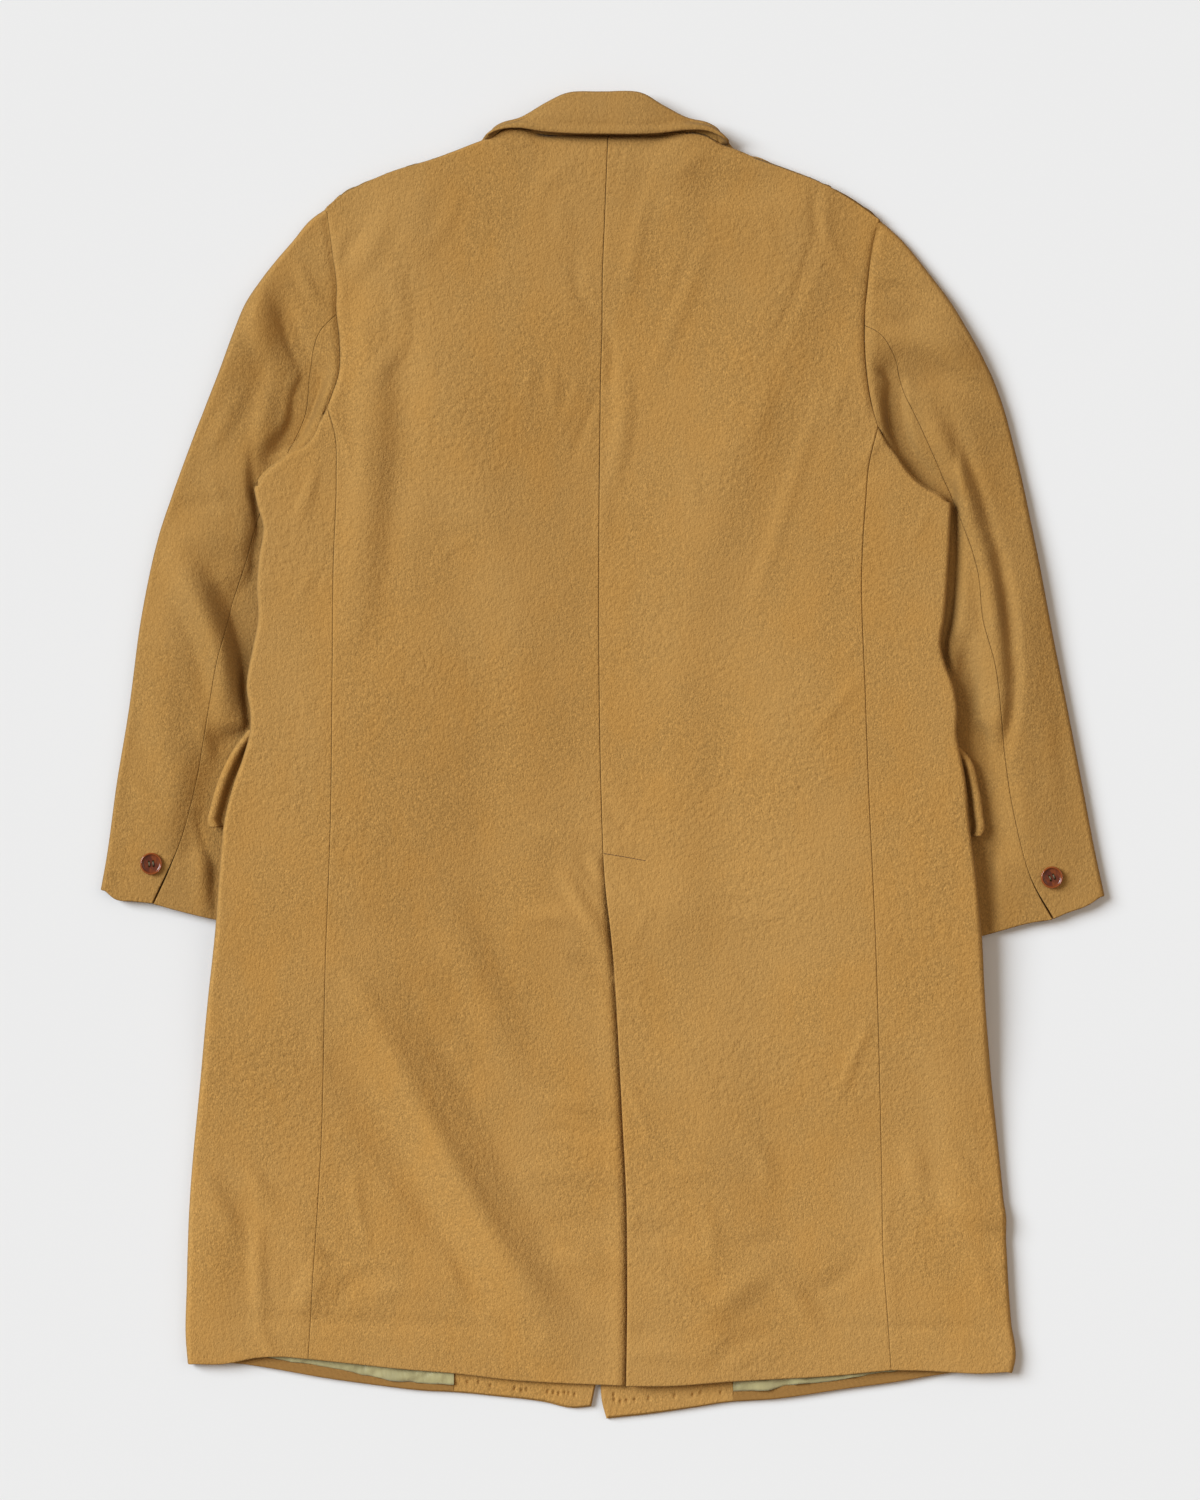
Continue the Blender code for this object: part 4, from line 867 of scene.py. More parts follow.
def sleeve_look(side, x, y):
    """Middle of the sleeve's upper wall: flush with the body at the armhole, and puffed beside the body."""
    out = np.abs(x)
    away = out - along_edge(side, y)
    outer = sample(SLEEVE_OUTER[side], np.linspace(0, 1, 120))
    to_outer = np.interp(y, outer[:, 1], outer[:, 0]) - out
    puff = SLEEVE_PUFF[side] * smooth_step(to_outer / SLEEVE_PUFF["to_edge"])
    below_armhole = smooth_step((SLEEVE_PUFF["armhole"] - y) / SLEEVE_PUFF["armhole_fade"])
    beside = smooth_step((away - SLEEVE_PUFF["start"]) / SLEEVE_PUFF["slope"])
    puff = puff * (1 - below_armhole + below_armhole * beside) * between_heights(y, SLEEVE_PUFF)
    by_flap = between_heights(y, FLAP_ROOM) * smooth_step((FLAP_ROOM["reach"] - away) / FLAP_ROOM["slope"])
    puff = puff * (1 - by_flap) - FLAP_ROOM["hollow"] * by_flap
    head_x = armhole_x(side, y)
    tip_y = SIDE_SEAM[side][-1][1]
    flush = wall_look(side, np.sign(x) * head_x, y) - HIGH
    dropped = smooth_step((tip_y + SLEEVE_DROP["above"] - y) / SLEEVE_DROP["fade"])
    flush = flush - (CLOTH + SEAM_GAP) * dropped
    reach = np.interp(y, HEAD_RISE["along"], HEAD_RISE["reach"])
    near_head = smooth_step(1 - (out - head_x) / reach)
    near_head = near_head * smooth_step((y - HEAD_RISE["foot"]) / HEAD_RISE["foot_fade"])
    near_head = near_head * smooth_step(to_outer / HEAD_RISE["edge_fade"])
    puff = puff * (1 - near_head)
    folds = creases(SLEEVE_CREASES, x, y) + 0.5 * ripples(x + 0.2 * y, y, 60, 80, 21)
    folds = folds + 0.15 * ripples(x, y, 20, 28, 22)
    at_head = smooth_step(1 - (out - head_x) / HEAD_RISE["roll"])
    at_head = at_head * smooth_step((y - HEAD_RISE["roll_foot"]) / HEAD_RISE["roll_fade"])
    folds = folds * (1 - at_head)
    at_edge = smooth_step(to_outer / FOLD_EDGE_FADE)
    lift = HIGH + creases(SLEEVE_FOLDS, x, y) + puff + folds * at_edge + flush * near_head
    lift = lift + groove_depth(side, y) * near_head - armhole_groove(side, out - head_x, y)
    under_body = smooth_step((head_x + UNDER_BODY["out"] - out) / UNDER_BODY["width"])
    under_body = under_body * smooth_step((tip_y + UNDER_BODY["above"] - y) / UNDER_BODY["fade"])
    lift = lift - under_body * np.maximum(lift - (wall_look(side, x, y) - CLOTH - SEAM_GAP), 0.0)
    lowest = LOW + CLOTH + LEAST_AIR
    return lowest + np.logaddexp(0, AIR_EASE * (lift - lowest)) / AIR_EASE


def wall_share(points, edges):
    """The wall's thickness at each point as a share: it rounds off at a free edge and thins at a seam."""
    share = np.ones(points.shape[:2])
    for place, edge in edges.items():
        by_column, from_last = place.endswith("column"), place.startswith("last")
        turned = points.swapaxes(0, 1) if by_column else points
        turned = turned[::-1] if from_last else turned
        steps = np.linalg.norm(np.diff(turned, axis=0), axis=-1)
        away = np.concatenate([np.zeros((1, steps.shape[1])), np.cumsum(steps, axis=0)])
        inwards = np.clip(away / edge["reach"], 0, 1)
        rounded = edge["least"] + (1 - edge["least"]) * np.sqrt(1 - (1 - inwards) ** 2)
        rounded = rounded[::-1] if from_last else rounded
        share = np.minimum(share, rounded.T if by_column else rounded)
    return share


def grid(points, **edges):
    """A grid of points with its wall shares: edges names the rows and columns that are seams or free."""
    return points, wall_share(points, edges)


def welded_mesh(name, grids):
    """One mesh from grids whose borders meet, with the wall's shares as an attribute."""
    points, shares, faces, start = [], [], [], 0
    for rows, share in grids:
        count, width = rows.shape[:2]
        index = start + np.arange(count * width).reshape(count, width)
        faces.append(
            np.stack([index[:-1, :-1], index[:-1, 1:], index[1:, 1:], index[1:, :-1]], axis=-1).reshape(-1, 4)
        )
        points.append(rows.reshape(-1, 3))
        shares.append(share.ravel())
        start += count * width
    data = bpy.data.meshes.new(name)
    data.from_pydata(np.concatenate(points) * MM, [], np.concatenate(faces).tolist())
    data.attributes.new("wall_share", "FLOAT", "POINT").data.foreach_set("value", np.concatenate(shares))
    mesh = bmesh.new()
    mesh.from_mesh(data)
    bmesh.ops.remove_doubles(mesh, verts=mesh.verts, dist=0.02 * MM)
    bmesh.ops.dissolve_degenerate(mesh, dist=0.005 * MM, edges=mesh.edges)
    bmesh.ops.recalc_face_normals(mesh, faces=mesh.faces)
    mesh.to_mesh(data)
    mesh.free()
    data.shade_smooth()
    return data


def cloth(node, grids, finish, thickness=CLOTH):
    """A piece of cloth that stands for its solid."""
    name = f"{node}_cloth"
    piece = bpy.data.objects.new(name, welded_mesh(name, grids))
    bpy.context.scene.collection.objects.link(piece)
    shares = np.empty(len(piece.data.vertices), np.float32)
    piece.data.attributes["wall_share"].data.foreach_get("value", shares)
    group = piece.vertex_groups.new(name="wall_share")
    for index, share in enumerate(shares.tolist()):
        group.add((index,), share, "REPLACE")
    piece.data.materials.append(finish)
    wall = piece.modifiers.new("wall", "SOLIDIFY")
    wall.thickness = thickness * MM
    wall.offset = 0.0
    wall.vertex_group = group.name
    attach(piece, "root")
    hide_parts(node)
    return piece


def side_seam(side, shares):
    return sample(half(SIDE_SEAM, side), shares)


def shoulder_line(shoulder, side, share=1.0):
    """Where the shoulder's rounded edge starts, and the way it turns. A share of 0 leaves it no rounding."""
    inset = (HIGH - LOW) / 2 + HALF
    line, normal = shifted(shoulder, -inset * share, (0, 1))
    normal[0] = mitred(normal[0], armhole_end(side))
    line[0] = shoulder[0] - inset * normal[0] - (SIGN[side] * SEAM_GAP / 2, 0)
    return line, normal


def length_of(points):
    return run_of(sample(points, np.linspace(0, 1, 200)))[-1]


def body_rows(side, step):
    """Shares of the side seam and of the armhole above it, one for each row of the body."""
    below = spread(length_of(SIDE_SEAM[side]), step, stop=False)
    above = spread(length_of(ARMHOLE_ABOVE_SEAM[side]), step, start=False)[1:]
    return below, above


def back_panel(side, finish):
    sign = SIGN[side]
    below, above = body_rows(side, STEP)
    seam, _ = shifted(side_seam(side, below), SEAM_GAP / 2, (-sign, 0))
    armhole, _ = shifted(sample(half(ARMHOLE_ABOVE_SEAM, side), above), SEAM_GAP / 2, (-sign, 0))
    outer = np.concatenate([seam, armhole])
    lengths = run_of(outer)
    up = lengths / lengths[-1]
    middle = [(x, y) for y, x in VENT_EDGE + MIDDLE_SEAM[1:]]
    inner, _ = shifted(sample(middle, up), SEAM_GAP / 2, (sign, 0))
    top_length = length_of(SHOULDER[side]) + length_of(BACK_NECK[side])
    over = spread(top_length, STEP)
    split = length_of(SHOULDER[side]) / top_length
    nearest = np.abs(over - split).argmin()
    over[nearest] = split
    shoulder = sample(half(SHOULDER, side), over[: nearest + 1] / split)
    neck = sample(half(BACK_NECK, side), (over[nearest:] - split) / (1 - split))
    past_neck_point = np.maximum(over - split, 0) * top_length
    rounding = smooth_step(1 - past_neck_point / NECK_ROUNDING)
    top, normal = shoulder_line(np.concatenate([shoulder, neck[1:]]), side, rounding)
    outer[-1], inner[-1] = top[0], top[-1]
    bottom = pinned(sample(half(BACK_HEM, side), over), over, outer[0], inner[0])
    plan = patch(outer, inner, bottom, top, up, over)
    points = raised(plan, lambda x, y: wall_look(side, x, y))
    rounded = np.flatnonzero(rounding > 0.05)
    line, normal, share = top[rounded], normal[rounded], rounding[rounded]
    edge = shoulder_edge(line, normal, points[-1, rounded, 2], front_height(line[:, 0], line[:, 1]), share)
    edges = {"first_column": SEAM_EDGE, "last_column": SEAM_EDGE, "first_row": FREE_EDGE}
    if side == "right":
        edges["last_column"] = FREE_EDGE
    rows, share = grid(points, **edges)
    at_neck = over * top_length > top_length * split + NECK_ROUNDING
    share[-1, at_neck] = FREE_EDGE["least"]
    grids = [(rows, share), grid(edge, first_row=SEAM_EDGE)]
    if side == "left":
        on_vent = rows[:, -1, 1] < VENT_TOP_OF_UNDERLAP
        share[on_vent] = wall_share(points, {"first_column": SEAM_EDGE, "first_row": FREE_EDGE})[on_vent]
        reach = np.linspace(0, 1, 12)[None, :, None]
        base = plan[on_vent, -1]
        underlap = base[:, None] + reach * np.array([VENT_UNDERLAP, 0.0])
        under = raised(underlap, lambda x, y: wall_look(side, x, y))
        grids.append(grid(under, last_column=FREE_EDGE, first_row=FREE_EDGE))
    return cloth(f"back_{side}", grids, finish)


def front_panel(side, finish):
    """The front, round the side fold to the side seam on the coat's back."""
    sign = SIGN[side]
    below, above = body_rows(side, STEP)
    edge = sample(half(SIDE_FOLD, side), below)
    high = back_height(edge[:, 0], edge[:, 1])
    low = front_height(edge[:, 0], edge[:, 1])
    line, normal = shifted(edge, -((high - low) / 2 + HALF), (sign, 0))
    seam, _ = shifted(side_seam(side, below), SEAM_GAP / 2, (sign, 0))
    over = spread(110.0, STEP, start=False)
    strip_hem = pinned(sample(half(STRIP_HEM, side), over), over, line[0], seam[0])
    strip_top = pinned(sample(half(ARMHOLE_BELOW_SEAM, side), over), over, line[-1], seam[-1])
    strip = patch(line, seam, strip_hem, strip_top, below, over)
    strip_points = raised(strip, lambda x, y: wall_look(side, x, y))
    strip_grid = grid(strip_points, last_column=SEAM_EDGE, **FREE_ENDS)
    low = front_height(line[:, 0], line[:, 1])
    side_fold = rounded_edge(line, normal, strip_points[:, 0, 2], low)
    fold_grid = grid(side_fold, **FREE_ENDS)

    armhole = half(ARMHOLE_BELOW_SEAM, side) + half(ARMHOLE_ABOVE_SEAM, side)[1:]
    above = spread(length_of(armhole), UNDER_STEP, start=False)[1:]
    armhole, _ = shifted(sample(armhole, above), SEAM_GAP / 2, (-sign, 0))
    outer = np.concatenate([line, armhole])
    lengths = run_of(outer)
    up = lengths / lengths[-1]
    straight_length, roll_length = length_of(FRONT_EDGE[side]), length_of(ROLL_LINE[side])
    split = straight_length / (straight_length + roll_length)
    corner = np.abs(up - split).argmin()
    straight = sample(half(FRONT_EDGE, side), up[: corner + 1] / up[corner])
    roll = sample(half(ROLL_LINE, side), (up[corner:] - up[corner]) / (1 - up[corner]))
    roll, _ = shifted(roll, LAPEL_LIFT / 2 + HALF + LIP + SEAM_GAP, (sign, 0))
    inner = np.concatenate([straight[:-1], roll])
    front_shoulder = half(SHOULDER, side)[:5] + half(FRONT_NECK_POINT, side)
    under_over = spread(length_of(FRONT_HEM[side]), UNDER_STEP, start=False)
    top, normal = shoulder_line(sample(front_shoulder, under_over), side)
    top -= UNDER_INSET * normal
    inner[-1], outer[-1] = top[-1], top[0]
    bottom = pinned(sample(half(FRONT_HEM, side), under_over), under_over, outer[0], inner[0])
    under = patch(outer, inner, bottom, top, up, under_over)
    under_points = raised(under, front_look)
    high = wall_look(side, top[:, 0], top[:, 1])
    under_shoulder = shoulder_edge(top, normal, under_points[-1, :, 2], high)
    grids = [
        strip_grid,
        fold_grid,
        grid(under_points, last_column=FREE_EDGE, first_row=FREE_EDGE),
        grid(under_shoulder),
    ]
    return cloth(f"front_{side}", grids, finish)


def front_look(x, y):
    """Middle of the fronts' lower wall, which creases a little where it is clear of the floor."""
    lifted = smooth_step(under_flap(x, y) / 3.0)
    return front_height(x, y) + lifted * (0.35 * ripples(x + 0.3 * y, y, 60, 90, 31))


def sleeve(side, finish):
    """The top sleeve, round the outer fold, and the undersleeve, round the inner one."""
    sign = SIGN[side]
    rows = spread(length_of(SLEEVE_OUTER[side]), STEP)
    inset = (HIGH - LOW) / 2 + HALF
    sleeve_outline = sample(half(SLEEVE_OUTER, side), rows)
    outer, outwards = shifted(sleeve_outline, -inset, (sign, 0))
    outwards[-1] = mitred(outwards[-1], armhole_end(side))
    outer[-1] = sleeve_outline[-1] - inset * outwards[-1] + (sign * 2 * SEAM_GAP, 0)
    inner, inwards = shifted(sample(half(SLEEVE_INNER, side), rows), -inset, (-sign, 0))
    hindarm = sample(half(HINDARM_SEAM, side), rows)
    opening = CUFF_SLIT["width"] * smooth_step((CUFF_SLIT[side] - hindarm[:, 1]) / CUFF_SLIT["length"])
    top_seam, _ = shifted(hindarm, SEAM_GAP / 2 + opening, (sign, 0))
    under_seam, _ = shifted(hindarm, SEAM_GAP / 2, (-sign, 0))

    def head(points, shares, clearance, start, stop):
        """The sleeve's edge at the armhole, which follows the body's panels above the underarm, clear of them."""
        line = shifted(sample(points, shares), clearance, (sign, 0))[0]
        line = pinned(line, shares, start, stop)
        y = line[:, 1]
        follows = smooth_step((y - SIDE_SEAM[side][-1][1] + 10.0) / 10.0)
        follows = follows * smooth_step((ARMHOLE_ABOVE_SEAM[side][-1][1] - y) / 20.0)
        line[:, 0] += follows * (sign * (armhole_x(side, y) + clearance) - line[:, 0])
        return line

    def look(x, y):
        return sleeve_look(side, x, y)

    over = spread(105.0, STEP, start=False)
    cuff = pinned(sample(half(CUFF_OUTER, side), over), over, outer[0], top_seam[0])
    crown = head(half(SLEEVE_HEAD_OUTER, side), over, SEAM_GAP, outer[-1], top_seam[-1])
    top_plan = patch(outer, top_seam, cuff, crown, rows, over)
    over = spread(125.0, STEP, stop=False)
    cuff = pinned(sample(half(CUFF_INNER, side), over), over, under_seam[0], inner[0])
    crown = head(half(SLEEVE_HEAD_INNER, side), over, 1.5 * SEAM_GAP, under_seam[-1], inner[-1])
    under_plan = patch(under_seam, inner, cuff, crown, rows, over)

    over = np.linspace(0, 1, 28)
    seam_column = 24
    cuff = sample(half(CUFF_OUTER, side) + half(CUFF_INNER, side)[1:], over)
    whole_head = half(SLEEVE_HEAD_OUTER, side) + half(SLEEVE_HEAD_INNER, side)[1:]
    cuff = pinned(cuff, over, outer[0], inner[0])
    crown = head(whole_head, over, 4 * SEAM_GAP, outer[-1], inner[-1])
    floor_plan = patch(outer, inner, cuff, crown, rows, over)
    top_floor = floor_plan[:, : seam_column + 1].copy()
    under_floor = floor_plan[:, seam_column:].copy()
    top_floor[:, -1], _ = shifted(top_floor[:, -1], SEAM_GAP / 2, (sign, 0))
    under_floor[:, 0], _ = shifted(under_floor[:, 0], SEAM_GAP / 2, (-sign, 0))

    top_wall, under_wall = raised(top_plan, look), raised(under_plan, look)
    low = np.full(len(outer), LOW)
    outer_fold = rounded_edge(outer, outwards, top_wall[:, 0, 2], low)
    inner_fold = rounded_edge(inner, inwards, under_wall[:, -1, 2], low, steps=6)
    ends = {"first_row": FREE_EDGE, "last_row": SEAM_EDGE}
    top_grids = [
        grid(top_wall, last_column=SEAM_EDGE, **ends),
        grid(outer_fold, **ends),
        grid(raised(top_floor, sleeve_lower_height), last_column=SEAM_EDGE, **ends),
    ]
    under_grids = [
        grid(under_wall, first_column=SEAM_EDGE, **ends),
        grid(inner_fold, **ends),
        grid(raised(under_floor, sleeve_lower_height), first_column=SEAM_EDGE, **ends),
    ]
    cloth(f"sleeve_top_{side}", top_grids, finish)
    cloth(f"sleeve_under_{side}", under_grids, finish)


def lapel(side, finish):
    """Turned back on the coat's outside along the roll line, so it lies on the floor under the front."""
    sign = SIGN[side]
    shares = np.linspace(0.04, 1.0, 70)
    roll = sample(half(ROLL_LINE, side), shares * LAPEL_TOP_SHARE)
    radius = LAPEL_LIFT / 2
    line, towards_middle = shifted(roll, -(radius + HALF), (-sign, 0))
    count = len(roll)
    high, low = np.full(count, LOW + LAPEL_LIFT), np.full(count, LOW)
    fold = rounded_edge(line, towards_middle, high, low)
    lip = fold[:, :1] - np.append(towards_middle * LIP, np.zeros((count, 1)), axis=1)[:, None]
    fold = np.concatenate([lip, fold], axis=1)
    reach = np.interp(shares, LAPEL["share"], LAPEL["reach"])
    past = (shares - LAPEL_TIP["from_share"]) / (1 - LAPEL_TIP["from_share"])
    tip = np.column_stack([sign * reach, -LAPEL_TIP["drop"] * smooth_step(past)])
    over = spread(60.0, 4.0, start=False)[None, :, None]
    plan = (1 - over) * line[:, None] + over * (roll + tip)[:, None]
    flat = raised(plan, lambda x, y: np.full_like(x, LOW))
    grids = [grid(fold, first_column=FREE_EDGE, **FREE_ENDS), grid(flat, last_column=FREE_EDGE, **FREE_ENDS)]
    return cloth(f"lapel_{side}", grids, finish)


def collar_section(seam, fold, fall):
    """One section of the collar: up the stand, round the fold and down the fall, whose edge curls a little."""
    seam, fold, fall = (np.array(point, float) for point in (seam, fold, fall))
    tip = fold - (seam + fall) / 2
    tip /= np.linalg.norm(tip)
    across = fall - seam
    across -= (across @ tip) * tip
    across /= np.linalg.norm(across)
    centre = fold - tip * (COLLAR_FOLD_RADIUS + HALF)
    angles = np.linspace(-math.pi / 2, math.pi / 2, COLLAR_STEPS["fold"] + 1)
    bend = [centre + COLLAR_FOLD_RADIUS * (math.cos(a) * tip + math.sin(a) * across) for a in angles]
    stand = [seam + (bend[0] - seam) * share for share in spread(40.0, 5.0, stop=False)[:-1]]
    shares = spread(40.0, 40.0 / COLLAR_STEPS["fall"], start=False)[1:]
    bow = COLLAR_BOW * np.sin(np.pi * shares)
    fall_points = [
        bend[-1] + (fall - bend[-1]) * share + across * rise for share, rise in zip(shares, bow)
    ]
    return np.array(stand + bend + fall_points)


def collar_line(points, shares):
    """A smooth line through a point of each section of the collar."""
    spaced = shares * (len(points) - 1.0)
    knots = np.array(points, float)
    slopes = np.gradient(knots, axis=0)
    cell = np.minimum(spaced.astype(int), len(points) - 2)
    t = (spaced - cell)[:, None]
    return bent(t, knots[cell], knots[cell + 1], slopes[cell], slopes[cell + 1])


def collar(finish):
    """A stand and a fall round the neck: above the back, and on the floor under the fronts."""
    sections = []
    for side in ("left", "right"):
        signed = [
            [(SIGN[side] * out, up, height) for out, up, height in section]
            for section in COLLAR_SECTIONS[side]
        ]
        sections += signed[::-1] if side == "left" else signed
    shares = spread(COLLAR_LENGTH, 3.0)
    lines = [collar_line([section[k] for section in sections], shares) for k in range(3)]
    points = np.array([collar_section(*section) for section in zip(*lines)])
    from_edge = np.array([run_of(section[::-1])[::-1] for section in points])
    rim = FALL_RIM["rise"] * bulge(from_edge, FALL_RIM["at"], FALL_RIM["half_width"])
    rim -= FALL_RIM["dip"] * bulge(from_edge, FALL_RIM["dip_at"], FALL_RIM["dip_half_width"])
    on_back = smooth_step((points[..., 1] - COLLAR_ON_BACK["from"]) / COLLAR_ON_BACK["fade"])
    uneven = COLLAR_ON_BACK["uneven"] * ripples(points[..., 0], points[..., 1], 26, 16, 41)
    points[..., 2] += on_back * (rim + uneven)
    points[..., 2] = np.maximum(points[..., 2], LOW + SEAM_GAP)
    edged = grid(points, first_column=SEAM_EDGE, last_column=FREE_EDGE, **FREE_ENDS)
    return cloth("collar", [edged], finish)


def pocket_flap(side, finish):
    """Sewn on the front's outside: its end shows past the side fold."""
    sign = SIGN[side]
    along_shares = spread(length_of(FLAP_OUTER[side]), 3.0)
    outer = sample(half(FLAP_OUTER, side), along_shares)
    inner = np.column_stack([np.full(len(outer), sign * FLAP_INNER_X), outer[:, 1]])
    over = spread(125.0, 2.5)[None, :, None]
    plan = (1 - over) * outer[:, None] + over * inner[:, None]
    points = raised(plan, lambda x, y: under_flap(x, y) + SEAM_GAP + HALF)
    inwards = over[..., 0] * np.linalg.norm(plan[:, :1] - plan[:, -1:], axis=-1)
    points[..., 2] += FLAP_ROLL["rise"] * bulge(inwards, FLAP_ROLL["at"], FLAP_ROLL["half_width"])
    points[..., 2] -= FLAP_ROLL["dip"] * smooth_step((inwards - FLAP_ROLL["start"]) / FLAP_ROLL["width"])
    edged = grid(points, first_column=FREE_EDGE, last_column=FREE_EDGE, **FREE_ENDS)
    return cloth(f"pocket_flap_{side}", [edged], finish)


def inside_of_front(thickness):
    """Middle height of a layer that lies on the inside of the front."""
    return lambda x, y: front_height(x, y) + HALF + SEAM_GAP + thickness / 2


def pits(side, x, y):
    """How far each point is drawn into the hand-sewn pits of a facing, as a share."""
    drawn = np.zeros_like(x)
    for out, up in FACING_PITS[side]:
        away = np.hypot(x - SIGN[side] * out, (y - up) / FACING_PIT["length"])
        drawn = np.maximum(drawn, smooth_step((FACING_PIT["radius"] - away) / FACING_PIT["slope"]))
    return drawn


def hem_pieces(side, facing_finish, lining_finish, band_finish):
    """What shows of the front's inside at the hem: the facing, the turned-up hem and the lining."""
    sign = SIGN[side]
    border, inner_x = FACING_SIDE[side], FACING_INNER_X[side]
    hem = sample(half(FRONT_HEM, side), np.linspace(0.0, 1.0, 400))
    by_x = np.argsort(hem[:, 0])

    def hem_y(x):
        return np.interp(x, hem[by_x, 0], hem[by_x, 1])

    def between(name, x, lower, upper, up, height, finish, thickness=FACING_CLOTH):
        plan = np.stack([np.tile(x, (len(up), 1)), lower + (upper - lower) * up[:, None]], axis=-1)
        edges = {"first_column": SEAM_EDGE, "last_column": SEAM_EDGE, "first_row": FREE_EDGE}
        points, share = grid(raised(plan, height), **edges)
        if name == "facing":
            edge_x, edge_y = np.array(FRONT_EDGE[side]).T
            to_edge = (border - sign * plan[..., 0]) / (border - inner_x)
            beside = np.interp(plan[..., 1], edge_y, edge_x) + HEM_LAYER_INSET - inner_x
            points[..., 0] += sign * to_edge * beside
            drawn = FACING_PIT["thinned"] * pits(side, points[..., 0], points[..., 1])
            points[..., 2] -= drawn * thickness / 2
            share *= 1 - drawn
        return cloth(f"{name}_{side}", [(points, share)], finish, thickness)

    flat_facing = inside_of_front(FACING_CLOTH)
    width = border - SEAM_GAP / 2 - inner_x
    x = sign * (inner_x + width * spread(width, HEM_STEP))
    lower, upper = hem_y(x) + HEM_LAYER_INSET, np.full(len(x), LINING_TOP)
    close = np.linspace(0, 0.42, 34)
    up = np.concatenate([close, np.linspace(close[-1], 1, 12)[1:]])
    between("facing", x, lower, upper, up, flat_facing, facing_finish)
    top = np.array(half(HEM_BAND_TOP, side))
    by_top = np.argsort(top[:, 0])
    width = HEM_BAND_END - border - SEAM_GAP / 2
    x = sign * (border + SEAM_GAP / 2 + width * spread(width, 2.0))
    band_top = np.interp(x, top[by_top, 0], top[by_top, 1]) + HEM_BAND_WAVE * ripples(x, 0.0 * x, 9, 9, 53)
    up = np.linspace(0, 1, 14)
    between("hem_band", x, hem_y(x) + HEM_LAYER_INSET, band_top, up, flat_facing, band_finish)
    satin = inside_of_front(LINING_CLOTH)

    def puckered(x, y):
        """The lining's loose edge, in soft uneven puckers that stay under the hem of the back."""
        pucker = LINING_PUCKER
        shown = smooth_step((pucker["from"] - y) / pucker["fade"])
        waves = ripples(x + 0.5 * y, y, 13, 9, 51) + pucker["fine"] * ripples(x - 0.4 * y, y, 6, 5, 52)
        waves = pucker["waves"] * np.clip(waves, -1, 1) * (1 + pucker["more"] * shown)
        return satin(x, y) + pucker["rest"] + waves + pucker["lift"] * shown

    lower, upper = band_top + SEAM_GAP, np.full(len(x), LINING_TOP)
    up = np.linspace(0, 1, 40)
    between("lining", x, lower, upper, up, puckered, lining_finish, LINING_CLOTH)


def link(obj):
    bpy.context.scene.collection.objects.link(obj)
    return obj


def evaluated_copy(obj, name):
    """A plain mesh object of what the modifiers make."""
    graph = bpy.context.evaluated_depsgraph_get()
    made = bpy.data.objects.new(name, bpy.data.meshes.new_from_object(obj.evaluated_get(graph)))
    made.data.name = name
    made.matrix_world = obj.matrix_world
    return link(made)


def thread_curve(name, radius, roundness):
    curve = bpy.data.curves.new(name, "CURVE")
    curve.dimensions = "3D"
    curve.bevel_depth = radius
    curve.bevel_resolution = roundness
    return curve


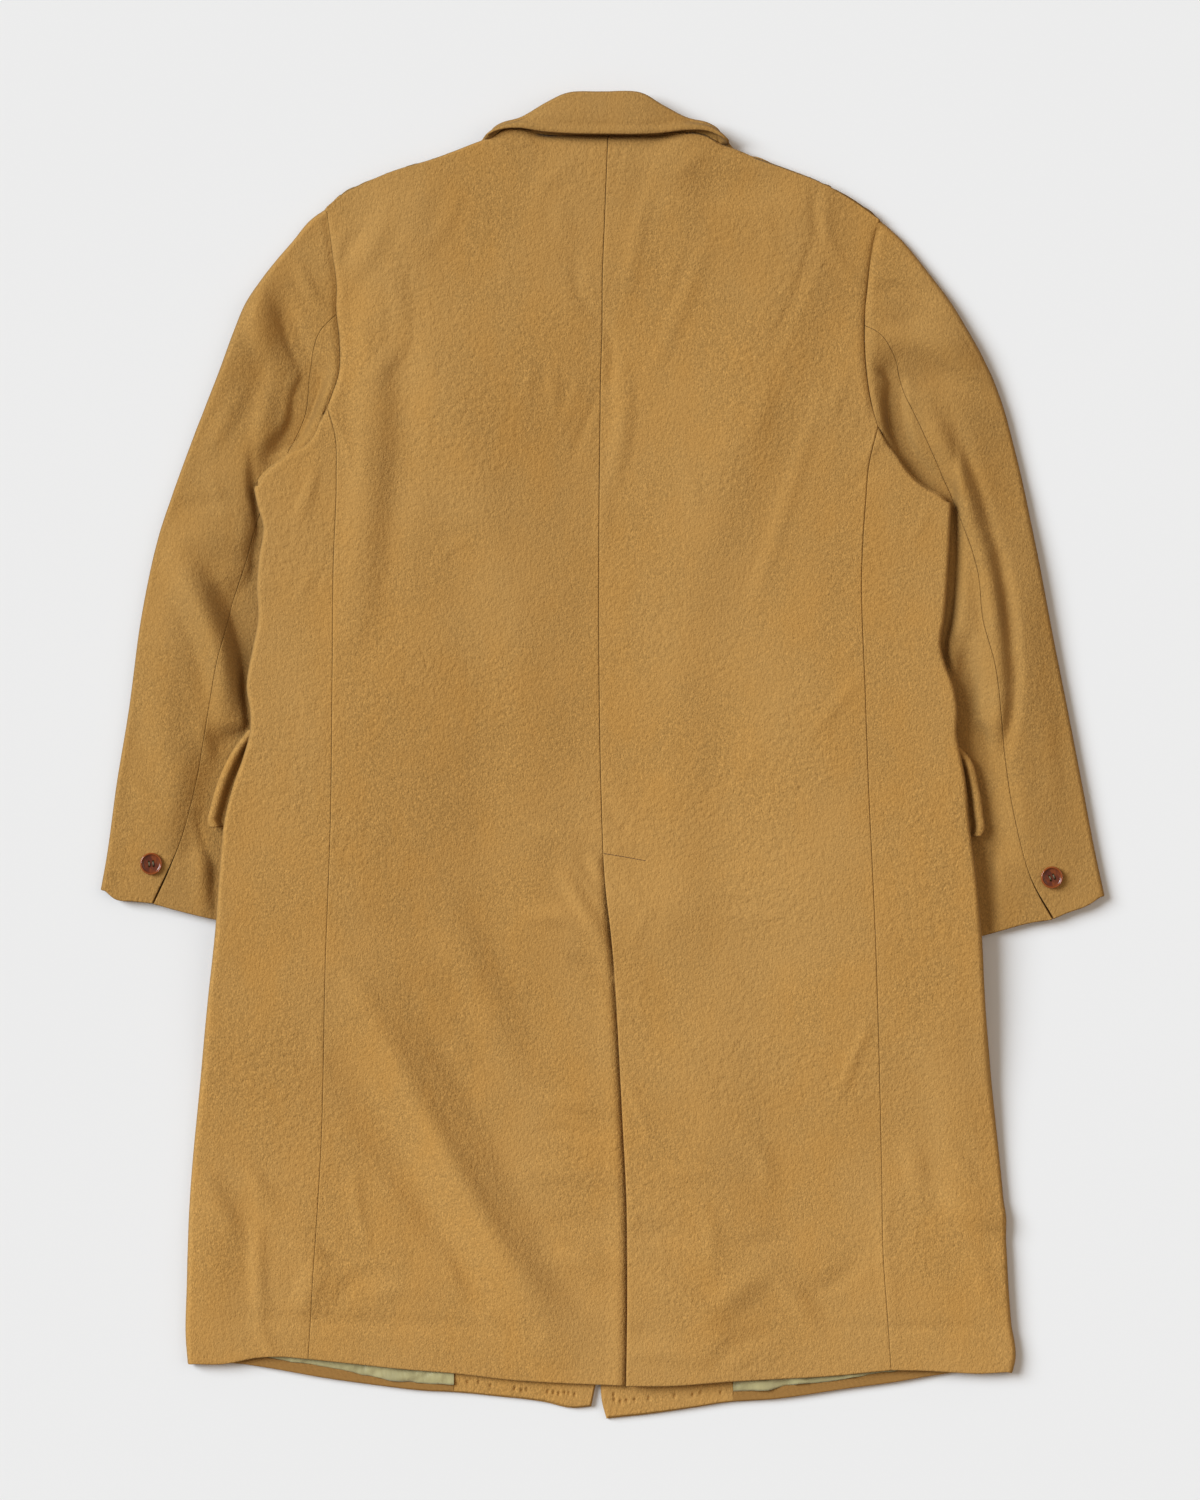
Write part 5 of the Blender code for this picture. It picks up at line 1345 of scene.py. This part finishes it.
def button(node, sizes, place, faces_up, horn_finish, thread_finish, turn_by):
    """A turned horn button with a raised rim round a dish, four holes and the thread that holds it."""
    radius, thick = sizes["across"] / 2 * MM, sizes["thick"] * MM
    outline = bpy.data.meshes.new(f"{node}_outline")
    edges = [(k, k + 1) for k in range(len(BUTTON_PROFILE) - 1)]
    outline.from_pydata([(radius * r, 0, thick * h) for r, h in BUTTON_PROFILE], edges, [])
    blank = link(bpy.data.objects.new(f"{node}_blank", outline))
    turn = blank.modifiers.new("turn", "SCREW")
    turn.steps = turn.render_steps = 72
    turn.use_merge_vertices = True
    turn.merge_threshold = 0.00005
    helpers = [blank]
    hole_radius, hole_out = BUTTON_HOLE["radius"] * radius, BUTTON_HOLE["out"] * radius
    spots = [(hole_out * math.cos(a), hole_out * math.sin(a)) for a in np.radians([45, 135, 225, 315])]
    for spot_x, spot_y in spots:
        drill = bmesh.new()
        bmesh.ops.create_cone(drill, cap_ends=True, segments=20, radius1=hole_radius, radius2=hole_radius,
                              depth=4 * thick)
        bmesh.ops.translate(drill, verts=drill.verts, vec=(spot_x, spot_y, 0))
        data = bpy.data.meshes.new(f"{node}_drill")
        drill.to_mesh(data)
        drill.free()
        cutter = link(bpy.data.objects.new(data.name, data))
        helpers.append(cutter)
        cut = blank.modifiers.new("hole", "BOOLEAN")
        cut.operation, cut.object = "DIFFERENCE", cutter
    bpy.context.view_layer.update()
    piece = evaluated_copy(blank, f"{node}_horn")
    for helper in helpers:
        bpy.data.objects.remove(helper)
    piece.data.shade_smooth()
    piece.data.set_sharp_from_angle(angle=math.radians(50))
    piece.data.materials.clear()
    piece.data.materials.append(horn_finish)

    thread = thread_curve(f"{node}_thread", BUTTON_THREAD["radius"] * radius, 3)
    dish = BUTTON_THREAD["dish"] * thick
    for first, last in ((0, 3), (1, 2)):
        for offset in (-BUTTON_THREAD["apart"] * radius, BUTTON_THREAD["apart"] * radius):
            line = thread.splines.new("BEZIER")
            line.bezier_points.add(3)
            (x0, y0), (x1, y1) = spots[first], spots[last]
            stops = [(x0 * 0.9, y0 * 0.86, -0.2 * thick), (x0 * 0.9, y0 * 0.66, dish + 0.05 * thick),
                     (x1 * 0.9, y1 * 0.66, dish + 0.05 * thick), (x1 * 0.9, y1 * 0.86, -0.2 * thick)]
            for point, (px, py, pz) in zip(line.bezier_points, stops):
                point.co = (px + offset, py, pz)
                point.handle_left_type = point.handle_right_type = "AUTO"
    sewn = link(bpy.data.objects.new(thread.name, thread))
    sewn.data.materials.append(thread_finish)
    for obj in (piece, sewn):
        obj.location = [value * MM for value in place]
        obj.rotation_euler = (0 if faces_up else math.pi, 0, turn_by)
    bpy.context.view_layer.update()
    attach(piece, "root")
    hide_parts(node)
    sewn_mesh = evaluated_copy(sewn, f"{node}_thread_wound")
    bpy.data.objects.remove(sewn)
    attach(sewn_mesh, "root")
    return piece, sewn_mesh


def tack_line(name, points, finish, radius):
    """A line of small stitches that follows the cloth: thread that dips under at each stitch's end."""
    line = sample(points, np.linspace(0, 1, 60))
    heights = wall_look("right", line[:, 0], line[:, 1]) + HALF
    dips = 0.5 * np.abs(np.sin(np.linspace(0, math.pi * 12, 60)))
    curve = thread_curve(name, radius * MM, 2)
    curve.use_fill_caps = True
    spline = curve.splines.new("POLY")
    spline.points.add(len(line) - 1)
    for point, (x, y), z in zip(spline.points, line, heights - radius * 0.9 + 0.15 * dips):
        point.co = (x * MM, y * MM, z * MM, 1)
    shape = link(bpy.data.objects.new(name, curve))
    piece = evaluated_copy(shape, f"{name}_thread")
    bpy.data.objects.remove(shape)
    piece.data.materials.append(finish)
    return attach(piece, "root")


class Nodes:
    """Short ways to add shader nodes to one material."""

    def __init__(self, name):
        self.material = bpy.data.materials.new(name)
        self.material.use_nodes = True
        self.tree = self.material.node_tree
        self.shader = self.tree.nodes["Principled BSDF"]
        self.place = self.add("ShaderNodeTexCoord").outputs["Object"]

    def add(self, kind, **settings):
        node = self.tree.nodes.new(kind)
        for name, value in settings.items():
            setattr(node, name, value)
        return node

    def wire(self, source, target):
        self.tree.links.new(source, target)

    def stretched(self, scale, turn=0.0):
        mapping = self.add("ShaderNodeMapping")
        mapping.inputs["Scale"].default_value = scale
        mapping.inputs["Rotation"].default_value = (0, 0, turn)
        self.wire(self.place, mapping.inputs["Vector"])
        return mapping.outputs["Vector"]

    def noise(self, size, detail=3.0, scale=(1, 1, 1), turn=0.0, roughness=0.55):
        """Noise whose spots are about this size, in metres."""
        node = self.add("ShaderNodeTexNoise")
        node.inputs["Scale"].default_value = 1.0 / size
        node.inputs["Detail"].default_value = detail
        node.inputs["Roughness"].default_value = roughness
        self.wire(self.stretched(scale, turn), node.inputs["Vector"])
        return node.outputs["Fac"]

    def spread(self, value, low, high, to_low=0.0, to_high=1.0):
        node = self.add("ShaderNodeMapRange")
        for socket, number in zip(("From Min", "From Max", "To Min", "To Max"), (low, high, to_low, to_high)):
            node.inputs[socket].default_value = number
        self.wire(value, node.inputs["Value"])
        return node.outputs["Result"]

    def maths(self, operation, first, second):
        node = self.add("ShaderNodeMath", operation=operation)
        for socket, value in zip(node.inputs, (first, second)):
            if isinstance(value, (int, float)):
                socket.default_value = value
            else:
                self.wire(value, socket)
        return node.outputs["Value"]

    def mix(self, share, first, second, blend="MIX"):
        node = self.add("ShaderNodeMix", data_type="RGBA", blend_type=blend)
        for socket, value in zip((node.inputs[0], node.inputs[6], node.inputs[7]), (share, first, second)):
            if isinstance(value, (int, float)):
                socket.default_value = value
            elif isinstance(value, tuple):
                socket.default_value = (*value, 1.0)
            else:
                self.wire(value, socket)
        return node.outputs[2]

    def finished(self, tone, roughness, height, depth=1.0, constants=()):
        """The material with its colour, roughness and relief wired up, and its other sockets set."""
        relief = self.add("ShaderNodeBump")
        relief.inputs["Strength"].default_value = 1.0
        relief.inputs["Distance"].default_value = depth
        self.wire(height, relief.inputs["Height"])
        sources = {"Base Color": tone, "Roughness": roughness, "Normal": relief.outputs["Normal"]}
        for socket, source in sources.items():
            self.wire(source, self.shader.inputs[socket])
        for socket, value in constants:
            self.shader.inputs[socket].default_value = value
        return self.material


def shade(colour, by):
    return tuple(channel * by for channel in colour)


def wool(name, colour, nap=1.0, pebble=1.0, painted_light_at_shoulder=1.0):
    """Brushed woollen cloth: short fibres that lie mostly along the coat, in tufts, over a soft ripple."""
    n = Nodes(name)
    fibres = n.noise(0.0011, 4.0, (1.0, 0.55, 1.0), 0.12, 0.6)
    tufts = n.noise(0.0028, 3.0, (1.0, 0.75, 1.0), -0.1, 0.6)
    patches = n.noise(0.030, 3.0, (1.0, 0.6, 1.0), 0.5)
    clouds = n.noise(0.13, 2.0, (1.0, 0.7, 1.0), 0.4)
    pebbles = n.noise(0.0050, 1.5, (0.8, 1.0, 1.0), 0.5, 0.4)
    where = n.spread(n.noise(0.11, 1.0, (1.0, 1.0, 1.0), 0.0), 0.46, 0.62)
    tone = n.mix(n.spread(fibres, 0.36, 0.64), shade(colour, 0.76), shade(colour, 1.36))
    tone = n.mix(n.spread(tufts, 0.34, 0.66, 0.0, 0.55), tone, shade(colour, 0.80))
    warm = (colour[0] * 1.10, colour[1] * 1.03, colour[2] * 0.88)
    pale = (colour[0] * 1.07, colour[1] * 1.12, colour[2] * 1.26)
    tone = n.mix(n.spread(patches, 0.42, 0.66, 0.0, 0.5), tone, warm)
    tone = n.mix(n.spread(clouds, 0.42, 0.66, 0.0, 0.5), tone, pale)
    split = n.add("ShaderNodeSeparateXYZ")
    n.wire(n.place, split.inputs["Vector"])
    # Painted light: the wool is painted about 6% lighter at the hem and about 5% darker at the collar.
    painted_light_to_hem = n.spread(split.outputs["Y"], -0.45, 0.55, 1.06, 0.955)
    tone = n.mix(1.0, tone, painted_light_to_hem, "MULTIPLY")
    # Painted light: above about 0.4 m along the coat, the wool is multiplied by the shoulder factor, which paints
    # the sleeves' tops lighter.
    tone = n.mix(1.0, tone, n.spread(split.outputs["Y"], 0.34, 0.46, 1.0, painted_light_at_shoulder), "MULTIPLY")
    # Painted shade: the wool is painted darker the more its surface tilts, down to 0.54 of its colour on upright
    # walls such as rounded edges and the sides of hollows.
    facing = n.add("ShaderNodeSeparateXYZ")
    n.wire(n.add("ShaderNodeNewGeometry").outputs["Normal"], facing.inputs["Vector"])
    upright = n.spread(n.maths("ABSOLUTE", facing.outputs["Z"], 0.0), 0.25, 0.94, 0.54, 1.0)
    tone = n.mix(1.0, tone, upright, "MULTIPLY")
    height = n.maths("MULTIPLY", n.maths("MULTIPLY", pebbles, where), 0.0011 * pebble)
    height = n.maths("ADD", height, n.maths("MULTIPLY", tufts, 0.00100 * nap))
    height = n.maths("ADD", height, n.maths("MULTIPLY", fibres, 0.00055 * nap))
    return n.finished(tone, n.spread(fibres, 0.3, 0.7, 0.98, 0.82), height, constants=(
        ("Specular IOR Level", 0.12), ("Sheen Weight", 0.12), ("Sheen Roughness", 0.45),
        ("Sheen Tint", (1.0, 0.82, 0.58, 1.0)),
    ))


def basket_wool(name, colour):
    """The plain inside of the turned-up hem: threads about a millimetre apart, over and under."""
    n = Nodes(name)
    across = n.add("ShaderNodeTexWave", wave_type="BANDS", bands_direction="X")
    length = n.add("ShaderNodeTexWave", wave_type="BANDS", bands_direction="Y")
    for wave in (across, length):
        wave.inputs["Scale"].default_value = 290.0
        wave.inputs["Distortion"].default_value = 1.2
        wave.inputs["Detail Scale"].default_value = 1.5
        n.wire(n.stretched((1, 1, 1), 0.1), wave.inputs["Vector"])
    weave = n.maths("MULTIPLY", across.outputs["Fac"], length.outputs["Fac"])
    fibres = n.noise(0.0009, 3.0)
    tone = n.mix(n.spread(weave, 0.1, 0.7), shade(colour, 0.62), shade(colour, 1.12))
    tone = n.mix(n.spread(fibres, 0.35, 0.65, 0.0, 0.5), tone, shade(colour, 0.85))
    height = n.maths("ADD", n.maths("MULTIPLY", weave, 0.0005), n.maths("MULTIPLY", fibres, 0.0002))
    roughness = n.spread(fibres, 0.3, 0.7, 0.95, 0.8)
    return n.finished(tone, roughness, height, constants=(("Specular IOR Level", 0.12),))


def satin_cloth(name, colour):
    """Thin lining with a soft lustre and small creases."""
    n = Nodes(name)
    creased = n.noise(0.012, 3.0, (1.0, 0.5, 1.0), 0.6)
    threads = n.noise(0.0006, 2.0, (1.0, 0.2, 1.0))
    # Painted shade: the lining is painted darker where the crease noise is low and lighter where it is high, in
    # step with its relief.
    tone = n.mix(n.spread(creased, 0.35, 0.65), shade(colour, 0.86), shade(colour, 1.12))
    tone = n.mix(n.spread(threads, 0.3, 0.7, 0.0, 0.3), tone, shade(colour, 0.8))
    height = n.maths("ADD", n.maths("MULTIPLY", creased, 0.0015), n.maths("MULTIPLY", threads, 0.00008))
    return n.finished(tone, n.spread(creased, 0.3, 0.7, 0.42, 0.3), height, constants=(("Sheen Weight", 0.3),))


def horn(name, rim, heart):
    """Polished mottled horn, darker in the middle of the button."""
    n = Nodes(name)
    mottle = n.noise(0.0042, 3.0, (1.0, 0.5, 1.0), 0.7)
    streaks = n.noise(0.0013, 2.0, (1.0, 0.25, 1.0), 0.9)
    distance = n.add("ShaderNodeVectorMath", operation="LENGTH")
    n.wire(n.place, distance.inputs[0])
    outwards = n.spread(distance.outputs["Value"], 0.0074, 0.0096, 0.0, 0.85)
    spots = n.spread(mottle, 0.45, 0.68, 0.0, 0.55)
    tone = n.mix(n.maths("MAXIMUM", outwards, spots), heart, rim)
    tone = n.mix(n.spread(streaks, 0.5, 0.75, 0.0, 0.35), tone, shade(rim, 1.3))
    roughness = n.spread(streaks, 0.3, 0.7, 0.16, 0.24)
    constants = (("Coat Weight", 0.3), ("Coat Roughness", 0.12))
    return n.finished(tone, roughness, streaks, 0.00004, constants)


def thread_finish(name, colour):
    n = Nodes(name)
    twist = n.noise(0.0004, 2.0, (1.0, 0.4, 1.0), 0.8)
    tone = n.mix(n.spread(twist, 0.35, 0.65), shade(colour, 0.7), shade(colour, 1.25))
    return n.finished(tone, n.spread(twist, 0.3, 0.7, 0.7, 0.5), twist, 0.0001)


def floor():
    """A plain pale floor, much larger than the coat."""
    mesh = bpy.data.meshes.new("floor")
    reach = 12.0
    mesh.from_pydata([(-reach, -reach, 0), (reach, -reach, 0), (reach, reach, 0), (-reach, reach, 0)], [],
                     [(0, 1, 2, 3)])
    piece = link(bpy.data.objects.new("floor", mesh))
    piece.location.z = -0.0004
    n = Nodes("pale_floor")
    n.wire(n.mix(n.noise(0.4, 2.0), (0.842, 0.842, 0.842), (0.852, 0.852, 0.852)), n.shader.inputs["Base Color"])
    n.shader.inputs["Roughness"].default_value = 0.9
    n.shader.inputs["Specular IOR Level"].default_value = 0.1
    mesh.materials.append(n.material)


def soft_light(name, shines_from, strength, width, colour):
    """A wide distant light: it shines evenly on the whole coat, with soft shadows."""
    light = bpy.data.lights.new(name, "SUN")
    light.energy, light.angle, light.color = strength, math.radians(width), colour
    lamp = link(bpy.data.objects.new(name, light))
    lamp.location = shines_from
    lamp.rotation_euler = Vector(shines_from).to_track_quat("Z", "Y").to_euler()


def studio():
    """Soft light from both sides, a pale room and the camera straight above."""
    scene = bpy.context.scene
    world = bpy.data.worlds.new("studio")
    scene.world = world
    world.use_nodes = True
    world.node_tree.nodes["Background"].inputs["Color"].default_value = (*WARM_FILL, 1.0)
    world.node_tree.nodes["Background"].inputs["Strength"].default_value = ROOM_LIGHT
    for row in SOFT_LIGHTS["rows"]:
        soft_light(*row)
    scene.view_settings.view_transform = "Standard"
    scene.view_settings.look = "None"
    camera = bpy.data.cameras.new("camera")
    camera.sensor_fit = "AUTO"
    camera.sensor_width = 36.0
    camera.lens = camera.sensor_width * CAMERA_HEIGHT / PHOTO_HEIGHT
    camera.clip_end = 50.0
    viewer = link(bpy.data.objects.new("camera", camera))
    viewer.location = (PHOTO_CENTRE[0], PHOTO_CENTRE[1], CAMERA_HEIGHT)
    scene.camera = viewer


def dress():
    body = wool("camel_wool_body", CAMEL)
    # Painted shade: the sleeves and the collar are the body's camel painted darker, and the sleeves are painted
    # lighter again near the shoulder.
    shaded_sleeve_wool = wool("camel_wool_sleeve", shade(CAMEL, 0.87), pebble=0.6, painted_light_at_shoulder=1.13)
    shaded_collar_wool = wool("camel_wool_collar", shade(CAMEL, 0.90), pebble=0.3)
    facing_wool = wool("camel_wool_facing", shade(CAMEL, 1.02), pebble=0.3)
    band_wool = basket_wool("camel_wool_hem", PAINTED_LIGHTER_HEM_BAND)
    satin = satin_cloth("sage_satin", SAGE)
    horn_finish = horn("brown_horn", HORN_RIM, HORN_HEART)
    button_thread = thread_finish("button_thread", BUTTON_THREAD_COLOUR)
    wool_thread = thread_finish("wool_thread", WOOL_THREAD_COLOUR)
    for side in ("left", "right"):
        back_panel(side, body)
        front_panel(side, body)
        sleeve(side, shaded_sleeve_wool)
        lapel(side, shaded_collar_wool)
        pocket_flap(side, body)
        hem_pieces(side, facing_wool, satin, band_wool)
    collar(shaded_collar_wool)
    tack_line("vent_tack", VENT_TACK, wool_thread, 0.8)
    for node, side, (x, y), turned in CUFF_BUTTONS["rows"]:
        low = float(sleeve_look(side, np.array([x]), np.array([y]))[0]) + HALF + CUFF_BUTTON_CLEARANCE
        button(node, CUFF_BUTTON, (x, y, low), True, horn_finish, button_thread, turned)
    for number, button_y in enumerate(FRONT_BUTTON_HEIGHTS, start=1):
        place = (FRONT_BUTTON_INSET, button_y, LAPEL_LIFT - SEAM_GAP)
        button(f"front_button_{number}", FRONT_BUTTON, place, False, horn_finish, button_thread, 0.2 * number)


dress()
floor()
studio()
